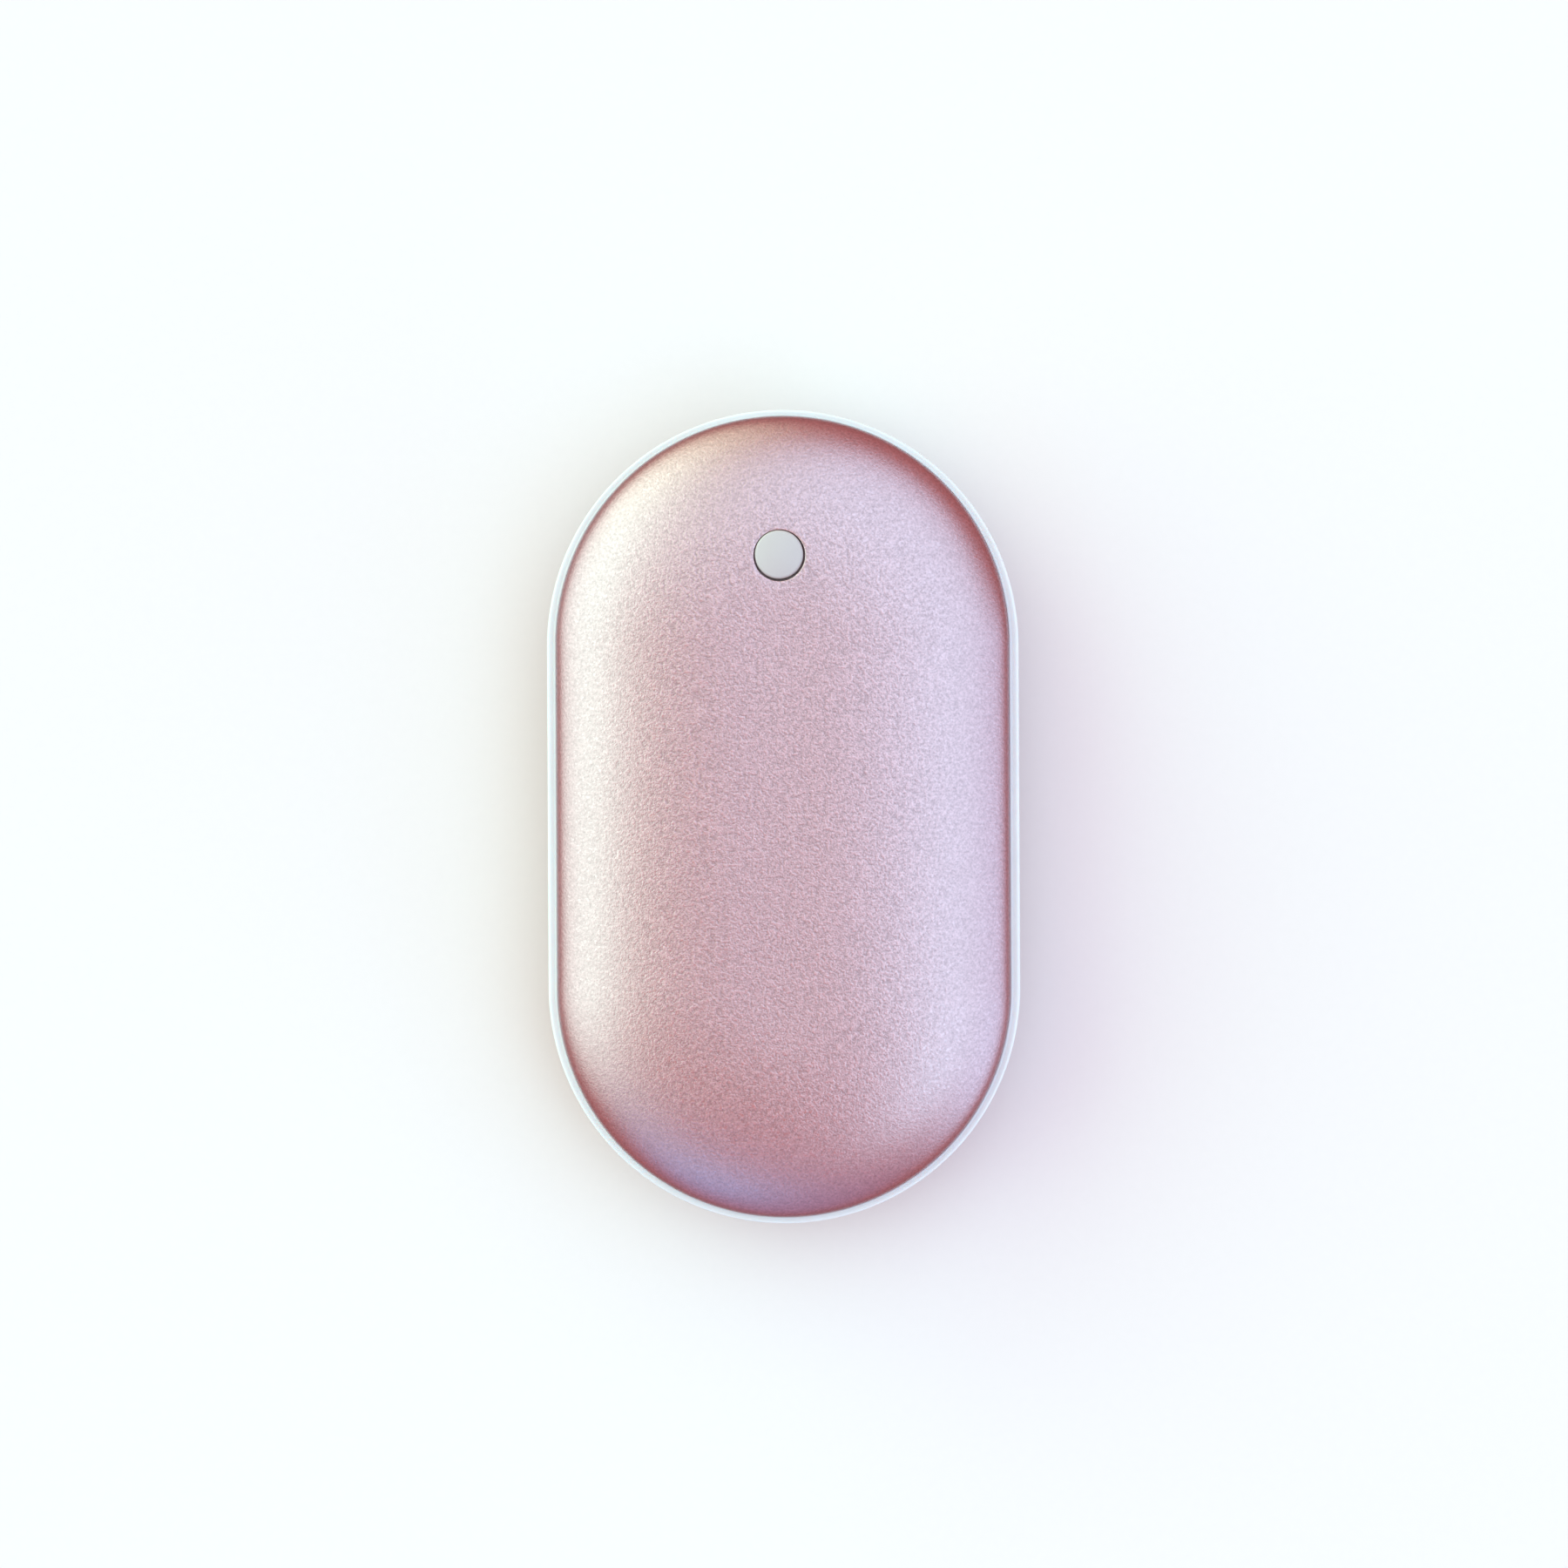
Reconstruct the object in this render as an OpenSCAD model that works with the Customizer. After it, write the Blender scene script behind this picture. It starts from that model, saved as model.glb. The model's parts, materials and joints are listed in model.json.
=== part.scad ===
// Rechargeable pocket hand warmer: two domed metal shells on a white frame, around two cells,
// two heater films, and a circuit board with its sockets, lamps and power button.
// It lies on its back shell. +Z leads out through the front, +Y towards the button's end,
// and the origin is under its middle, on the surface that it lies on.

/* [Body] */
// Length over the white frame
body_l = 100; // [98:1:110]
// Width over the white frame
body_w = 58; // [57:0.5:64]
// Thickness from crown to crown
body_t = 24; // [23.5:0.5:28]
// Height of the frame's outer band
band_h = 9.2; // [9:0.1:10.5]
// Rounding of the band's outer edges
band_corner = 0.5; // [0.2:0.1:0.8]

/* [Shells] */
// White rim beside the shells, along the long sides
rim_side = 1.2; // [1:0.05:1.5]
// White rim beyond the shells, at the two ends
rim_end = 0.85; // [0.75:0.05:1.3]
// Wall of the metal shells
shell_wall = 1; // [0.8:0.1:1.2]
// Depth of the straight skirt that a shell sets into the frame
skirt_d = 0.9; // [0.7:0.1:1.1]
// Half width of the flat strip along each crown
crown_flat = 4; // [3:0.5:6]
// Exponent of the curve that falls from the strip to the shell's edge
dome_power = 2.3; // [2.1:0.1:2.8]
// Thickness of the bond ring under each skirt
bond_t = 0.15; // [0.1:0.05:0.3]

/* [Frame] */
// Width of the ledge that carries a shell
ledge_w = 1.6; // [1.4:0.1:1.8]
// Length and width of the lugs that take the chassis screws
lug_w = 4; // [3.4:0.2:4.6]
// Distance of the lugs from the middle, along the length
lug_y = 16; // [12:1:18]

/* [Power button] */
// Diameter of the hole in the front shell
button_hole_d = 6.3; // [5.8:0.1:7]
// Gap round the button's cap, when it stands in the middle of its hole
button_gap = 0.25; // [0.2:0.05:0.4]
// Distance from the body's end to the middle of the hole
button_in = 18.5; // [18:0.5:19.5]
// How far the cap stands above the shell
button_stand = 0.35; // [0.35:0.05:0.8]
// How far the cap is shifted sideways in its hole, to the left
button_shift_x = 0.05; // [0:0.05:0.1]
// How far the cap is shifted in its hole, towards the body's end
button_shift_y = 0.12; // [0:0.02:0.14]
// Depth of the cap's crown over its rim
button_crown = 0.2; // [0.1:0.05:0.3]
// Diameter of the flange that keeps the button in
flange_d = 8; // [7.4:0.1:9]
// Thickness of the flange
flange_t = 0.6; // [0.5:0.1:0.8]
// Diameter of the stem that meets the switch
stem_d = 2.2; // [1.8:0.1:2.6]
// Travel of the button
button_travel = 0.3; // [0.2:0.05:0.35]

/* [Switch] */
// Side of the square switch
switch_w = 4.5; // [4.2:0.1:4.8]
// Height of the switch body
switch_h = 3; // [2.8:0.1:3.2]
// Thickness of the switch's metal cover
switch_cover_t = 0.2; // [0.15:0.05:0.3]
// Diameter of the plunger
plunger_d = 2.4; // [2:0.1:2.6]
// How far the plunger stands out of the cover
plunger_rise = 1; // [0.8:0.1:1.2]
// Width of the collar round the plunger's foot
plunger_collar = 0.35; // [0.3:0.05:0.4]

/* [Cells] */
// Diameter of a cell
cell_d = 18.3; // [18:0.1:18.5]
// Length of a cell with its positive cap
cell_l = 65; // [63:0.5:65.5]
// Diameter of the positive cap
cell_cap_d = 5.8; // [5:0.2:6.4]
// Height of the positive cap
cell_cap_h = 0.6; // [0.5:0.1:0.9]
// Depth of the crimped groove near the positive end
groove_d = 0.5; // [0.3:0.1:0.7]
// Width of that groove
groove_w = 1.2; // [0.8:0.1:1.6]
// Distance of that groove from the can's end
groove_in = 3; // [2.4:0.2:4]
// Thickness of the ring that insulates the cap
ring_t = 0.2; // [0.15:0.05:0.3]
// Thickness of the nickel strips
strip_t = 0.15; // [0.1:0.05:0.25]
// Height of the nickel strips
strip_h = 7; // [6:0.5:8]
// Thickness of the insulator card
card_t = 0.25; // [0.2:0.05:0.35]

/* [Heaters] */
// Thickness of a heater film
film_t = 0.25; // [0.2:0.05:0.35]
// Length of a heater film
film_l = 40; // [36:1:42]
// Width of a heater film, across the shell
film_w = 40; // [34:1:44]
// Width of a foam pad
pad_w = 6; // [5:0.5:6.4]
// Length of a foam pad
pad_l = 50; // [40:1:54]
// Diameter of the thermal cut-off
cutoff_d = 3; // [2.4:0.2:3.4]
// Length of the thermal cut-off
cutoff_l = 9; // [8:0.5:9]

/* [Chassis] */
// Thickness of the chassis plate
plate_t = 1.2; // [1:0.1:1.4]
// Thickness of the walls round the cells
wall_t = 1; // [0.8:0.1:1.1]
// Height of the walls round the cells
wall_h = 10; // [9:0.5:10.5]
// Length of the two ears that carry the board
ear_l = 6.5; // [6:0.25:7]
// Diameter of the posts under the board
post_d = 4; // [3.6:0.1:4.4]
// Distance of the posts from the middle, across the body
post_x = 17; // [16.4:0.2:18]

/* [Screws] */
// Diameter of the screw shanks
screw_d = 1.4; // [1.2:0.1:1.6]
// Diameter of the screw heads
head_d = 3; // [2.6:0.1:3.2]
// Height of the screw heads
head_h = 0.9; // [0.7:0.1:1.1]
// Width of the cross slots
slot_w = 0.4; // [0.3:0.05:0.5]

/* [Board] */
// Thickness of the circuit board
board_t = 1; // [0.8:0.1:1.1]
// Distance from the body's end to the board's end
board_in = 4; // [3.6:0.2:5]
// Half width of the board
board_reach = 21; // [20:0.5:21.5]

/* [Output socket] */
// Outer width of the output socket
usb_w = 13.2; // [13:0.1:13.4]
// Outer height of the output socket
usb_h = 5.7; // [5.6:0.05:5.9]
// Length of the output socket
usb_l = 14; // [12:0.5:14]
// Distance of the output socket from the middle, to the left
usb_x = 5.2; // [5:0.1:5.6]
// Distance from the body's end to the socket's mouth
usb_in = 2.5; // [2.4:0.1:3]
// Sheet thickness of the output socket
usb_metal = 0.3; // [0.25:0.05:0.35]
// Width of its tongue
usb_tongue_w = 11.2; // [10.8:0.1:11.6]
// Thickness of its tongue
usb_tongue_t = 1.8; // [1.6:0.1:1.9]

/* [Charging socket] */
// Outer width of the charging socket
micro_w = 7.6; // [7.4:0.1:7.8]
// Outer height of the charging socket
micro_h = 2.9; // [2.8:0.05:3]
// Length of the charging socket
micro_l = 5.2; // [5:0.1:5.6]
// Distance of the charging socket from the middle, to the right
micro_x = 8.4; // [8.2:0.1:8.8]
// Distance from the body's end to its mouth
micro_in = 3.8; // [3.6:0.1:4.2]
// Sheet thickness of the charging socket
micro_metal = 0.25; // [0.2:0.05:0.3]

/* [Lamps] */
// Number of indicator lamps
lamp_count = 4; // [3:1:4]
// Angle of the first lamp from the length's direction
lamp_first = 32; // [31:1:34]
// Angle from one lamp to the next
lamp_step = 6; // [5:0.5:6]
// Diameter of a lamp's light pin
lamp_d = 1.1; // [0.9:0.1:1.3]
// Distance from the round end's middle to the light bar
pipe_r = 24.6; // [24.2:0.1:24.8]
// Width of the light bar
pipe_w = 1.3; // [1.1:0.1:1.4]
// Height of the light bar
pipe_h = 2.9; // [2.4:0.1:3]

/* [Clearances] */
// Between a shell and the frame's lip
lip_gap = 0.05; // [0.03:0.01:0.1]
// Between pieces that sit on or beside each other
seat_gap = 0.15; // [0.1:0.05:0.2]
// Between the chassis and what it stands in or holds
chassis_gap = 0.25; // [0.2:0.05:0.3]
// Between a screw and its hole, on the radius
screw_gap = 0.05; // [0.03:0.01:0.08]
// Between a socket and its cut-out
port_gap = 0.1; // [0.06:0.02:0.12]
// Between the stem and the plunger at rest
touch_gap = 0.02; // [0.01:0.01:0.04]

/* [Hidden] */

// Overrun of every cut past the face that it leaves through
over = 1;
round_fn = 96;
small_fn = 32;
// Straight runs in a dome's outline, and in a rounded edge
dome_steps = 16;
corner_steps = 4;

// Heights
mid_z = body_t / 2;
band_top = mid_z + band_h / 2;
skirt_z = band_top - skirt_d;
ledge_z = skirt_z - bond_t;

// Stadiums: a radius, and the half length of their straight sides
frame_r = body_w / 2;
frame_run = (body_l - body_w) / 2;
shell_r = frame_r - rim_side;
shell_run = body_l / 2 - rim_end - shell_r;
dome_b = body_t / 2 - band_h / 2;
core_r = shell_r - shell_wall;
core_b = dome_b - shell_wall;
pocket_r = shell_r + lip_gap;
hollow_r = pocket_r - ledge_w;

// The pair of cells, and what stands before and behind it
cell_r = cell_d / 2;
cell_x = cell_r + seat_gap;
pack_reach = cell_x + cell_r;
pack_corner = 1.26;
can_y0 = -shell_run - sqrt(pow(hollow_r - pack_corner, 2) - pow(pack_reach, 2));
can_y1 = can_y0 + cell_l - cell_cap_h;
cap_y = can_y0 + cell_l;
card_y = cap_y + strip_t + seat_gap;
room_y0 = can_y0 - strip_t - chassis_gap;
room_y1 = card_y + card_t + seat_gap;
room_x = pack_reach + chassis_gap;
ear_y0 = room_y1 + wall_t;

// The circuit board, on the output socket and the posts
usb_top = mid_z + usb_h / 2;
board_z = usb_top;
board_top = board_z + board_t;
board_y0 = ear_y0 + chassis_gap;
board_y1 = body_l / 2 - board_in;
board_r = hollow_r - chassis_gap - ledge_w / 4;
plate_z = mid_z - plate_t / 2;
plate_top = mid_z + plate_t / 2;
lug_z = body_t - ledge_z;
lug_h = plate_z - lug_z;
post_y = board_y0 + post_d / 2 + chassis_gap;

// The button over its switch
button_y = body_l / 2 - button_in;
button_off = button_y - shell_run;
cap_r = button_hole_d / 2 - button_gap;
button_top = band_top + dome_height(button_off, shell_r, dome_b) + button_stand;
flange_top = band_top + dome_height(button_off + flange_d / 2, core_r, core_b) - seat_gap;
cover_z = board_top + switch_h;
cover_top = cover_z + switch_cover_t;
plunger_top = cover_top + plunger_rise;
stem_z = plunger_top + touch_gap;
collar_r = plunger_d / 2 + plunger_collar;
collar_top = cover_z - seat_gap / 2;
collar_h = 0.6;
disc_t = 0.1;
cavity_d = seat_gap / 2 + collar_h + button_travel + 3 * disc_t;

// The heater films and their pads
film_gap = 0.05;
film_r = core_r - film_gap;
film_b = core_b - film_gap;
pad_top = mid_z + film_under(cell_x + pad_w / 2) - seat_gap;
pad_z = mid_z + cell_r + seat_gap;

// The thermal cut-off lies in the valley between the cells
cutoff_up = sqrt(pow(cell_r + cutoff_d / 2 + seat_gap, 2) - pow(cell_x, 2));

// The sockets
usb_y = body_l / 2 - usb_in;
usb_tongue_in = 1;
usb_tongue_z = mid_z + usb_metal + seat_gap;
usb_block = 2.4;
contact_l = 8;
contact_w = 1;
contact_t = 0.2;
contact_step = 2.5;
micro_y = body_l / 2 - micro_in;
micro_z = board_z - micro_h / 2;
micro_taper = 0.9;
micro_tongue_w = 3.7;
micro_tongue_t = 0.6;
micro_tongue_in = 0.6;
micro_block = 1.4;
pin_w = 0.3;
pin_t = 0.1;
pin_step = 0.65;

// The lamps and their light pipe
lamp_part = [1.6, 0.8, 0.6];
lamp_r = pipe_r + pipe_w / 2;
pipe_z = board_z - lamp_part[2] - seat_gap / 2 - pipe_h;

// Parts on the board: sizes, and places as shares of its half width and its length
chip_size = [5, 4, 1.2];
chip_foot = [0.4, 0.9, 0.2];
chip_feet = 4;
chip_shares = [-0.44, 0.55];
coil_size = [5.8, 5.8, 2.6];
coil_shares = [0.48, 0.52];
cap_size = [2, 1.3, 1.1];
cap_shares = [[-0.72, 0.48], [-0.2, 0.72], [0.2, 0.78], [0.24, 0.5]];
transistor_size = [2.9, 1.6, 1.1];
transistor_shares = [[-0.6, 0.24], [0.52, 0.18]];

// Wires: diameters, and routes through points chosen by hand
power_wire_d = 1.2;
heater_wire_d = 0.8;
cutoff_wire_d = 0.6;
wire_sides = 8;
wire_steps = 2;
tab_w = 3;
tab_x = 4.5;
tab_drop = 3.5;
positive_route = [[-4.5, 27, 6], [-4.5, 29.2, 6.3], [-4.5, 30.6, 8.5], [-4.5, 30.8, 11.5],
    [-4.5, 30.8, 14.8]];
negative_route = [[0, -38.7, 6.2], [0, -39.5, 5.6], [0, -39.3, 4.3], [0, -37.6, 3.6], [0, -20, 4.2],
    [0, 20, 4.4], [0, 29.2, 5.4], [0, 30.8, 8.5], [0, 30.8, 14.8]];
front_route = [[4.4, 20.2, 22.2], [4.4, 25.5, 21.8], [4.5, 28.8, 20], [4.7, 30.6, 17.8],
    [4.7, 31.2, 16.1]];
back_route = [[4.2, 20.2, 1.8], [4.2, 26, 2.2], [4.2, 29.4, 3.6], [4.4, 30.6, 8], [4.6, 30.8, 14.8]];
cutoff_route = [[0.7, 9.3, 17.4], [0.7, 20, 17.6], [0.9, 26.4, 17.9], [2.6, 28.8, 17.7],
    [3.4, 30.6, 16.2]];
wire_aside = 1.1;

// Height of a dome of reach a and rise b at a distance from its middle line
function dome_height(r, a, b) =
    b * sqrt(1 - pow(max(0, r - crown_flat) / (a - crown_flat), dome_power));

// Outline of half a dome, from its edge up to its middle line
function dome_outline(a, b) = concat(
    [for (i = [0 : dome_steps])
        let (turn = 90 * i / dome_steps)
        [crown_flat + (a - crown_flat) * pow(cos(turn), 2 / dome_power), b * sin(turn)]],
    [[0, b]]);

// Underside of the front film over the middle plane
function film_under(x) = band_top - mid_z + dome_height(x, film_r, film_b) - film_t;

// Outline of a wall of thickness t inside a dome, out to a half width of reach
function film_outline(reach) =
    let (n = dome_steps)
    let (steps = [for (i = [-n : n]) reach * i / n])
    concat(
        [for (x = steps) [x, dome_height(abs(x), film_r, film_b)]],
        [for (i = [0 : 2 * n]) let (x = steps[2 * n - i]) [x, dome_height(abs(x), film_r, film_b) - film_t]]);

function board_spot(shares) =
    [shares[0] * board_reach, board_y0 + shares[1] * (board_y1 - board_y0), board_top];

// A smooth way through the points of a route
function along(p, i, u) =
    let (a = p[max(i - 1, 0)])
    let (b = p[i])
    let (c = p[i + 1])
    let (d = p[min(i + 2, len(p) - 1)])
    0.5 * (2 * b + (c - a) * u + (2 * a - 5 * b + 4 * c - d) * pow(u, 2)
        + (3 * b - a - 3 * c + d) * pow(u, 3));
function smooth(p) = concat(
    [for (i = [0 : len(p) - 2]) for (j = [0 : wire_steps - 1]) along(p, i, j / wire_steps)],
    [p[len(p) - 1]]);
function unit(v) = v / norm(v);
function heading(p, i) = unit(p[min(i + 1, len(p) - 1)] - p[max(i - 1, 0)]);
function wire_ring(p, i, r) =
    let (n = unit(cross(heading(p, i), [1, 0, 0])))
    let (m = cross(heading(p, i), n))
    [for (k = [0 : wire_sides - 1])
        let (turn = 360 * k / wire_sides)
        p[i] + r * (cos(turn) * n + sin(turn) * m)];
function moved(p, by) = [for (q = p) q + by];

// A tube of one wire along its route
module wire(route, d) {
    p = smooth(route);
    s = wire_sides;
    last = len(p) - 1;
    points = [for (i = [0 : last]) each wire_ring(p, i, d / 2)];
    sides = [for (i = [0 : last - 1]) for (k = [0 : s - 1])
        let (a = i * s + k)
        let (b = i * s + (k + 1) % s)
        each [[a, b + s, b], [a, a + s, b + s]]];
    ends = [for (k = [1 : s - 2]) each [[0, k, k + 1], [last * s, last * s + k + 1, last * s + k]]];
    polyhedron(points = points, faces = concat(sides, ends));
}

// Flat stadium
module stadium(r, run) {
    square([2 * r, 2 * run], center = true);
    for (side = [-1, 1])
        translate([0, side * run])
            circle(r, $fn = round_fn);
}

// Stadium plate from one height up to another
module stadium_plate(r, run, low, high)
    translate([0, 0, low])
        linear_extrude(high - low)
            stadium(r, run);

// An outline swept round a stadium; it starts and ends on the middle line
module swept(outline, run) {
    across = concat(outline, [for (i = [len(outline) - 1 : -1 : 0]) [-outline[i][0], outline[i][1]]]);
    translate([0, run, 0])
        rotate([90, 0, 0])
            linear_extrude(2 * run)
                polygon(across);
    for (side = [0, 180])
        rotate([0, 0, side])
            translate([0, run, 0])
                rotate_extrude(angle = 180, $fn = round_fn)
                    polygon(outline);
}

// Domed solid with a straight foot under its edge
module dome(a, b, foot)
    translate([0, 0, band_top])
        swept(concat([[0, -foot], [a, -foot]], dome_outline(a, b)), shell_run);

module shell() difference() {
    dome(shell_r, dome_b, skirt_d);
    dome(core_r, core_b, skirt_d + over);
}

// The same piece on the other side of the middle plane
module to_back()
    translate([0, 0, body_t])
        mirror([0, 0, 1])
            children();

module bond_ring() translate([0, 0, ledge_z]) linear_extrude(bond_t) difference() {
    stadium(shell_r, shell_run);
    stadium(core_r, shell_run);
}

module each_lug()
    for (sx = [-1, 1])
        for (sy = [-1, 1])
            translate([sx * (hollow_r - lug_w / 2), sy * lug_y, 0])
                children();

module cylinder_y(r, l)
    rotate([-90, 0, 0])
        cylinder(r = r, h = l, $fn = small_fn);

module centred_box(size)
    translate([-size[0] / 2, -size[1] / 2, 0])
        cube(size);

// A box seen along the socket's axis, from a depth to its mouth
module socket_box(x, z, w, h, from_y, to_y)
    translate([x - w / 2, from_y, z - h / 2])
        cube([w, to_y - from_y, h]);

// Screw with its head on z = 0 and its shank below
module screw(shank_l) difference() {
    union() {
        cylinder(d = head_d, h = head_h, $fn = small_fn);
        translate([0, 0, -shank_l])
            cylinder(d = screw_d, h = shank_l + head_h / 2, $fn = small_fn);
    }
    for (turn = [0, 90])
        rotate([0, 0, turn])
            translate([0, 0, head_h / 2])
                centred_box([head_d * 0.7, slot_w, head_h]);
}

module front_shell() color("#cfb0b5") difference() {
    shell();
    translate([0, button_y, band_top])
        cylinder(d = button_hole_d, h = dome_b + over, $fn = round_fn);
}

module back_shell() color("#cfb0b5") to_back() shell();

function band_outline() =
    let (h = band_h / 2)
    let (c = band_corner)
    let (turns = [for (i = [0 : corner_steps]) 90 * i / corner_steps])
    concat(
        [[0, -h]],
        [for (a = turns) [frame_r - c + c * sin(a), -h + c - c * cos(a)]],
        [for (a = turns) [frame_r - c + c * cos(a), h - c + c * sin(a)]],
        [[0, h]]);

module middle_frame() color("#eef0ee") difference() {
    union() {
        difference() {
            translate([0, 0, mid_z])
                swept(band_outline(), frame_run);
            stadium_plate(pocket_r, shell_run, ledge_z, band_top + over);
            stadium_plate(pocket_r, shell_run, body_t - band_top - over, body_t - ledge_z);
            stadium_plate(hollow_r, shell_run, body_t - ledge_z - over, ledge_z + over);
        }
        each_lug()
            translate([0, 0, lug_z])
                centred_box([lug_w, lug_w, lug_h]);
        for (sx = [-1, 1])
            for (sy = [-1, 1])
                translate([sx * (hollow_r + ledge_w / 4), sy * lug_y, lug_z])
                    centred_box([ledge_w / 2, lug_w, lug_h]);
    }
    each_lug()
        translate([0, 0, lug_z - over])
            cylinder(r = screw_d / 2 + screw_gap, h = lug_h + 2 * over, $fn = small_fn);
    socket_box(-usb_x, mid_z, usb_w + 2 * port_gap, usb_h + 2 * port_gap, shell_run, body_l / 2 + over);
    socket_box(micro_x, micro_z, micro_w + 2 * port_gap, micro_h + 2 * port_gap, shell_run,
        body_l / 2 + over);
    each_lamp()
        translate([0, 0, pipe_z + pipe_h / 2])
            cylinder_y(lamp_d / 2 + port_gap, body_w);
}

module front_bond_ring() color("#9a9a96") bond_ring();
module back_bond_ring() color("#9a9a96") to_back() bond_ring();

module power_button() color("#d8dcdf") translate([-button_shift_x, button_y + button_shift_y, 0]) {
    edge = button_crown;
    rotate_extrude($fn = round_fn)
        polygon([
            [0, stem_z],
            [stem_d / 2, stem_z],
            [stem_d / 2, flange_top - flange_t],
            [flange_d / 2, flange_top - flange_t],
            [flange_d / 2, flange_top],
            [cap_r, flange_top],
            [cap_r, button_top - edge],
            [cap_r - edge / 2, button_top - edge / 4],
            [cap_r - edge * 2, button_top],
            [0, button_top]]);
}

module switch_body() color("#303030") translate([0, button_y, board_top]) difference() {
    centred_box([switch_w, switch_w, switch_h]);
    translate([0, 0, switch_h - cavity_d])
        cylinder(r = collar_r + seat_gap, h = cavity_d + over, $fn = round_fn);
}

module switch_cover() color("#c9c9c4") translate([0, button_y, cover_z]) difference() {
    centred_box([switch_w, switch_w, switch_cover_t]);
    translate([0, 0, -over])
        cylinder(r = plunger_d / 2 + seat_gap / 2, h = switch_cover_t + 2 * over, $fn = round_fn);
}

module switch_snap_disc() color("#b9b09a") translate([0, button_y, cover_z - cavity_d])
    rotate_extrude($fn = round_fn)
        polygon([[0, disc_t], [collar_r - disc_t, 0], [collar_r, 0], [collar_r, disc_t], [0, 2 * disc_t]]);

module switch_plunger() color("#262626") translate([0, button_y, 0]) {
    cylinder_between(collar_r, collar_top - collar_h, collar_top);
    cylinder_between(plunger_d / 2, collar_top - collar_h / 2, plunger_top);
}

module cylinder_between(r, low, high)
    translate([0, 0, low])
        cylinder(r = r, h = high - low, $fn = round_fn);

module inner_chassis() color("#e4e2dc") difference() {
    intersection() {
        union() {
            translate([0, 0, plate_z])
                linear_extrude(plate_t)
                    square([body_w, 2 * (ear_y0 + ear_l)], center = true);
            translate([-room_x - wall_t, room_y0 - wall_t, mid_z - wall_h / 2])
                cube([2 * (room_x + wall_t), room_y1 - room_y0 + 2 * wall_t, wall_h]);
            for (side = [-1, 1])
                translate([side * post_x, post_y, plate_z])
                    cylinder(d = post_d, h = board_z - plate_z, $fn = small_fn);
        }
        stadium_plate(hollow_r - chassis_gap, shell_run, mid_z - wall_h, mid_z + wall_h);
    }
    translate([-room_x, room_y0, mid_z - wall_h])
        cube([2 * room_x, room_y1 - room_y0, 2 * wall_h]);
    translate([-post_x + post_d * 0.75, ear_y0, plate_z - over])
        cube([2 * post_x - post_d * 1.5, ear_l + body_w, plate_t + 2 * over]);
    each_lug()
        translate([0, 0, plate_z - over])
            cylinder(r = screw_d / 2 + seat_gap, h = plate_t + 2 * over, $fn = small_fn);
    for (side = [-1, 1])
        translate([side * post_x, post_y, plate_z - over])
            cylinder(r = screw_d / 2 + screw_gap, h = board_z - plate_z + 2 * over, $fn = small_fn);
}

module chassis_screws() color("#8f9296")
    each_lug()
        translate([0, 0, plate_top])
            screw(plate_t + lug_h * 0.9);

// One cell's can, crimped near its positive end
module cell_can(side) translate([side * cell_x, can_y0, mid_z]) difference() {
    rotate([-90, 0, 0])
        cylinder(r = cell_r, h = can_y1 - can_y0, $fn = round_fn);
    translate([0, can_y1 - can_y0 - groove_in - groove_w, 0])
        rotate([-90, 0, 0])
            difference() {
                cylinder(r = cell_r + over, h = groove_w, $fn = round_fn);
                translate([0, 0, -over])
                    cylinder(r = cell_r - groove_d, h = groove_w + 2 * over, $fn = round_fn);
            }
}

module left_cell() color("#2f7fb5") cell_can(-1);
module right_cell() color("#2f7fb5") cell_can(1);

module each_cell_end()
    for (side = [-1, 1])
        translate([side * cell_x, can_y1, mid_z])
            rotate([-90, 0, 0])
                children();

module cell_positive_caps() color("#c8c8c2")
    each_cell_end()
        cylinder(d = cell_cap_d, h = cell_cap_h, $fn = round_fn);

module cell_insulator_rings() color("#f2f2ea")
    each_cell_end()
        difference() {
            cylinder(r = cell_r - groove_d, h = ring_t, $fn = round_fn);
            translate([0, 0, -over])
                cylinder(r = cell_cap_d / 2 + seat_gap, h = ring_t + 2 * over, $fn = round_fn);
        }

// Nickel strip across both cells, with a tab where its lead is soldered
module strip(y, tab_middle) {
    reach = cell_x + cell_cap_d / 2;
    translate([-reach, y, mid_z - strip_h / 2])
        cube([2 * reach, strip_t, strip_h]);
    translate([tab_middle - tab_w / 2, y, mid_z - strip_h / 2 - tab_drop])
        cube([tab_w, strip_t, tab_drop + strip_h / 2]);
}

module positive_strip() color("#b8b8b0") strip(cap_y, -tab_x);
module negative_strip() color("#b8b8b0") strip(can_y0 - strip_t, 0);

module insulator_card() color("#e6dcc0")
    translate([-room_x + chassis_gap, card_y, mid_z - wall_h / 2])
        cube([2 * (room_x - chassis_gap), card_t, wall_h]);

module heater_film() translate([0, film_l / 2, band_top])
    rotate([90, 0, 0])
        linear_extrude(film_l)
            polygon(film_outline(film_w / 2));

module front_heater_film() color("#d9822b") heater_film();
module back_heater_film() color("#d9822b") to_back() heater_film();

module foam_pads()
    for (side = [-1, 1])
        translate([side * cell_x, 0, pad_z])
            centred_box([pad_w, pad_l, pad_top - pad_z]);

module front_foam_pads() color("#55585c") foam_pads();
module back_foam_pads() color("#55585c") to_back() foam_pads();

module thermal_cutoff() color("#d8d4c8")
    translate([0, 0, mid_z + cutoff_up])
        cylinder_y(cutoff_d / 2, cutoff_l);

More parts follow.
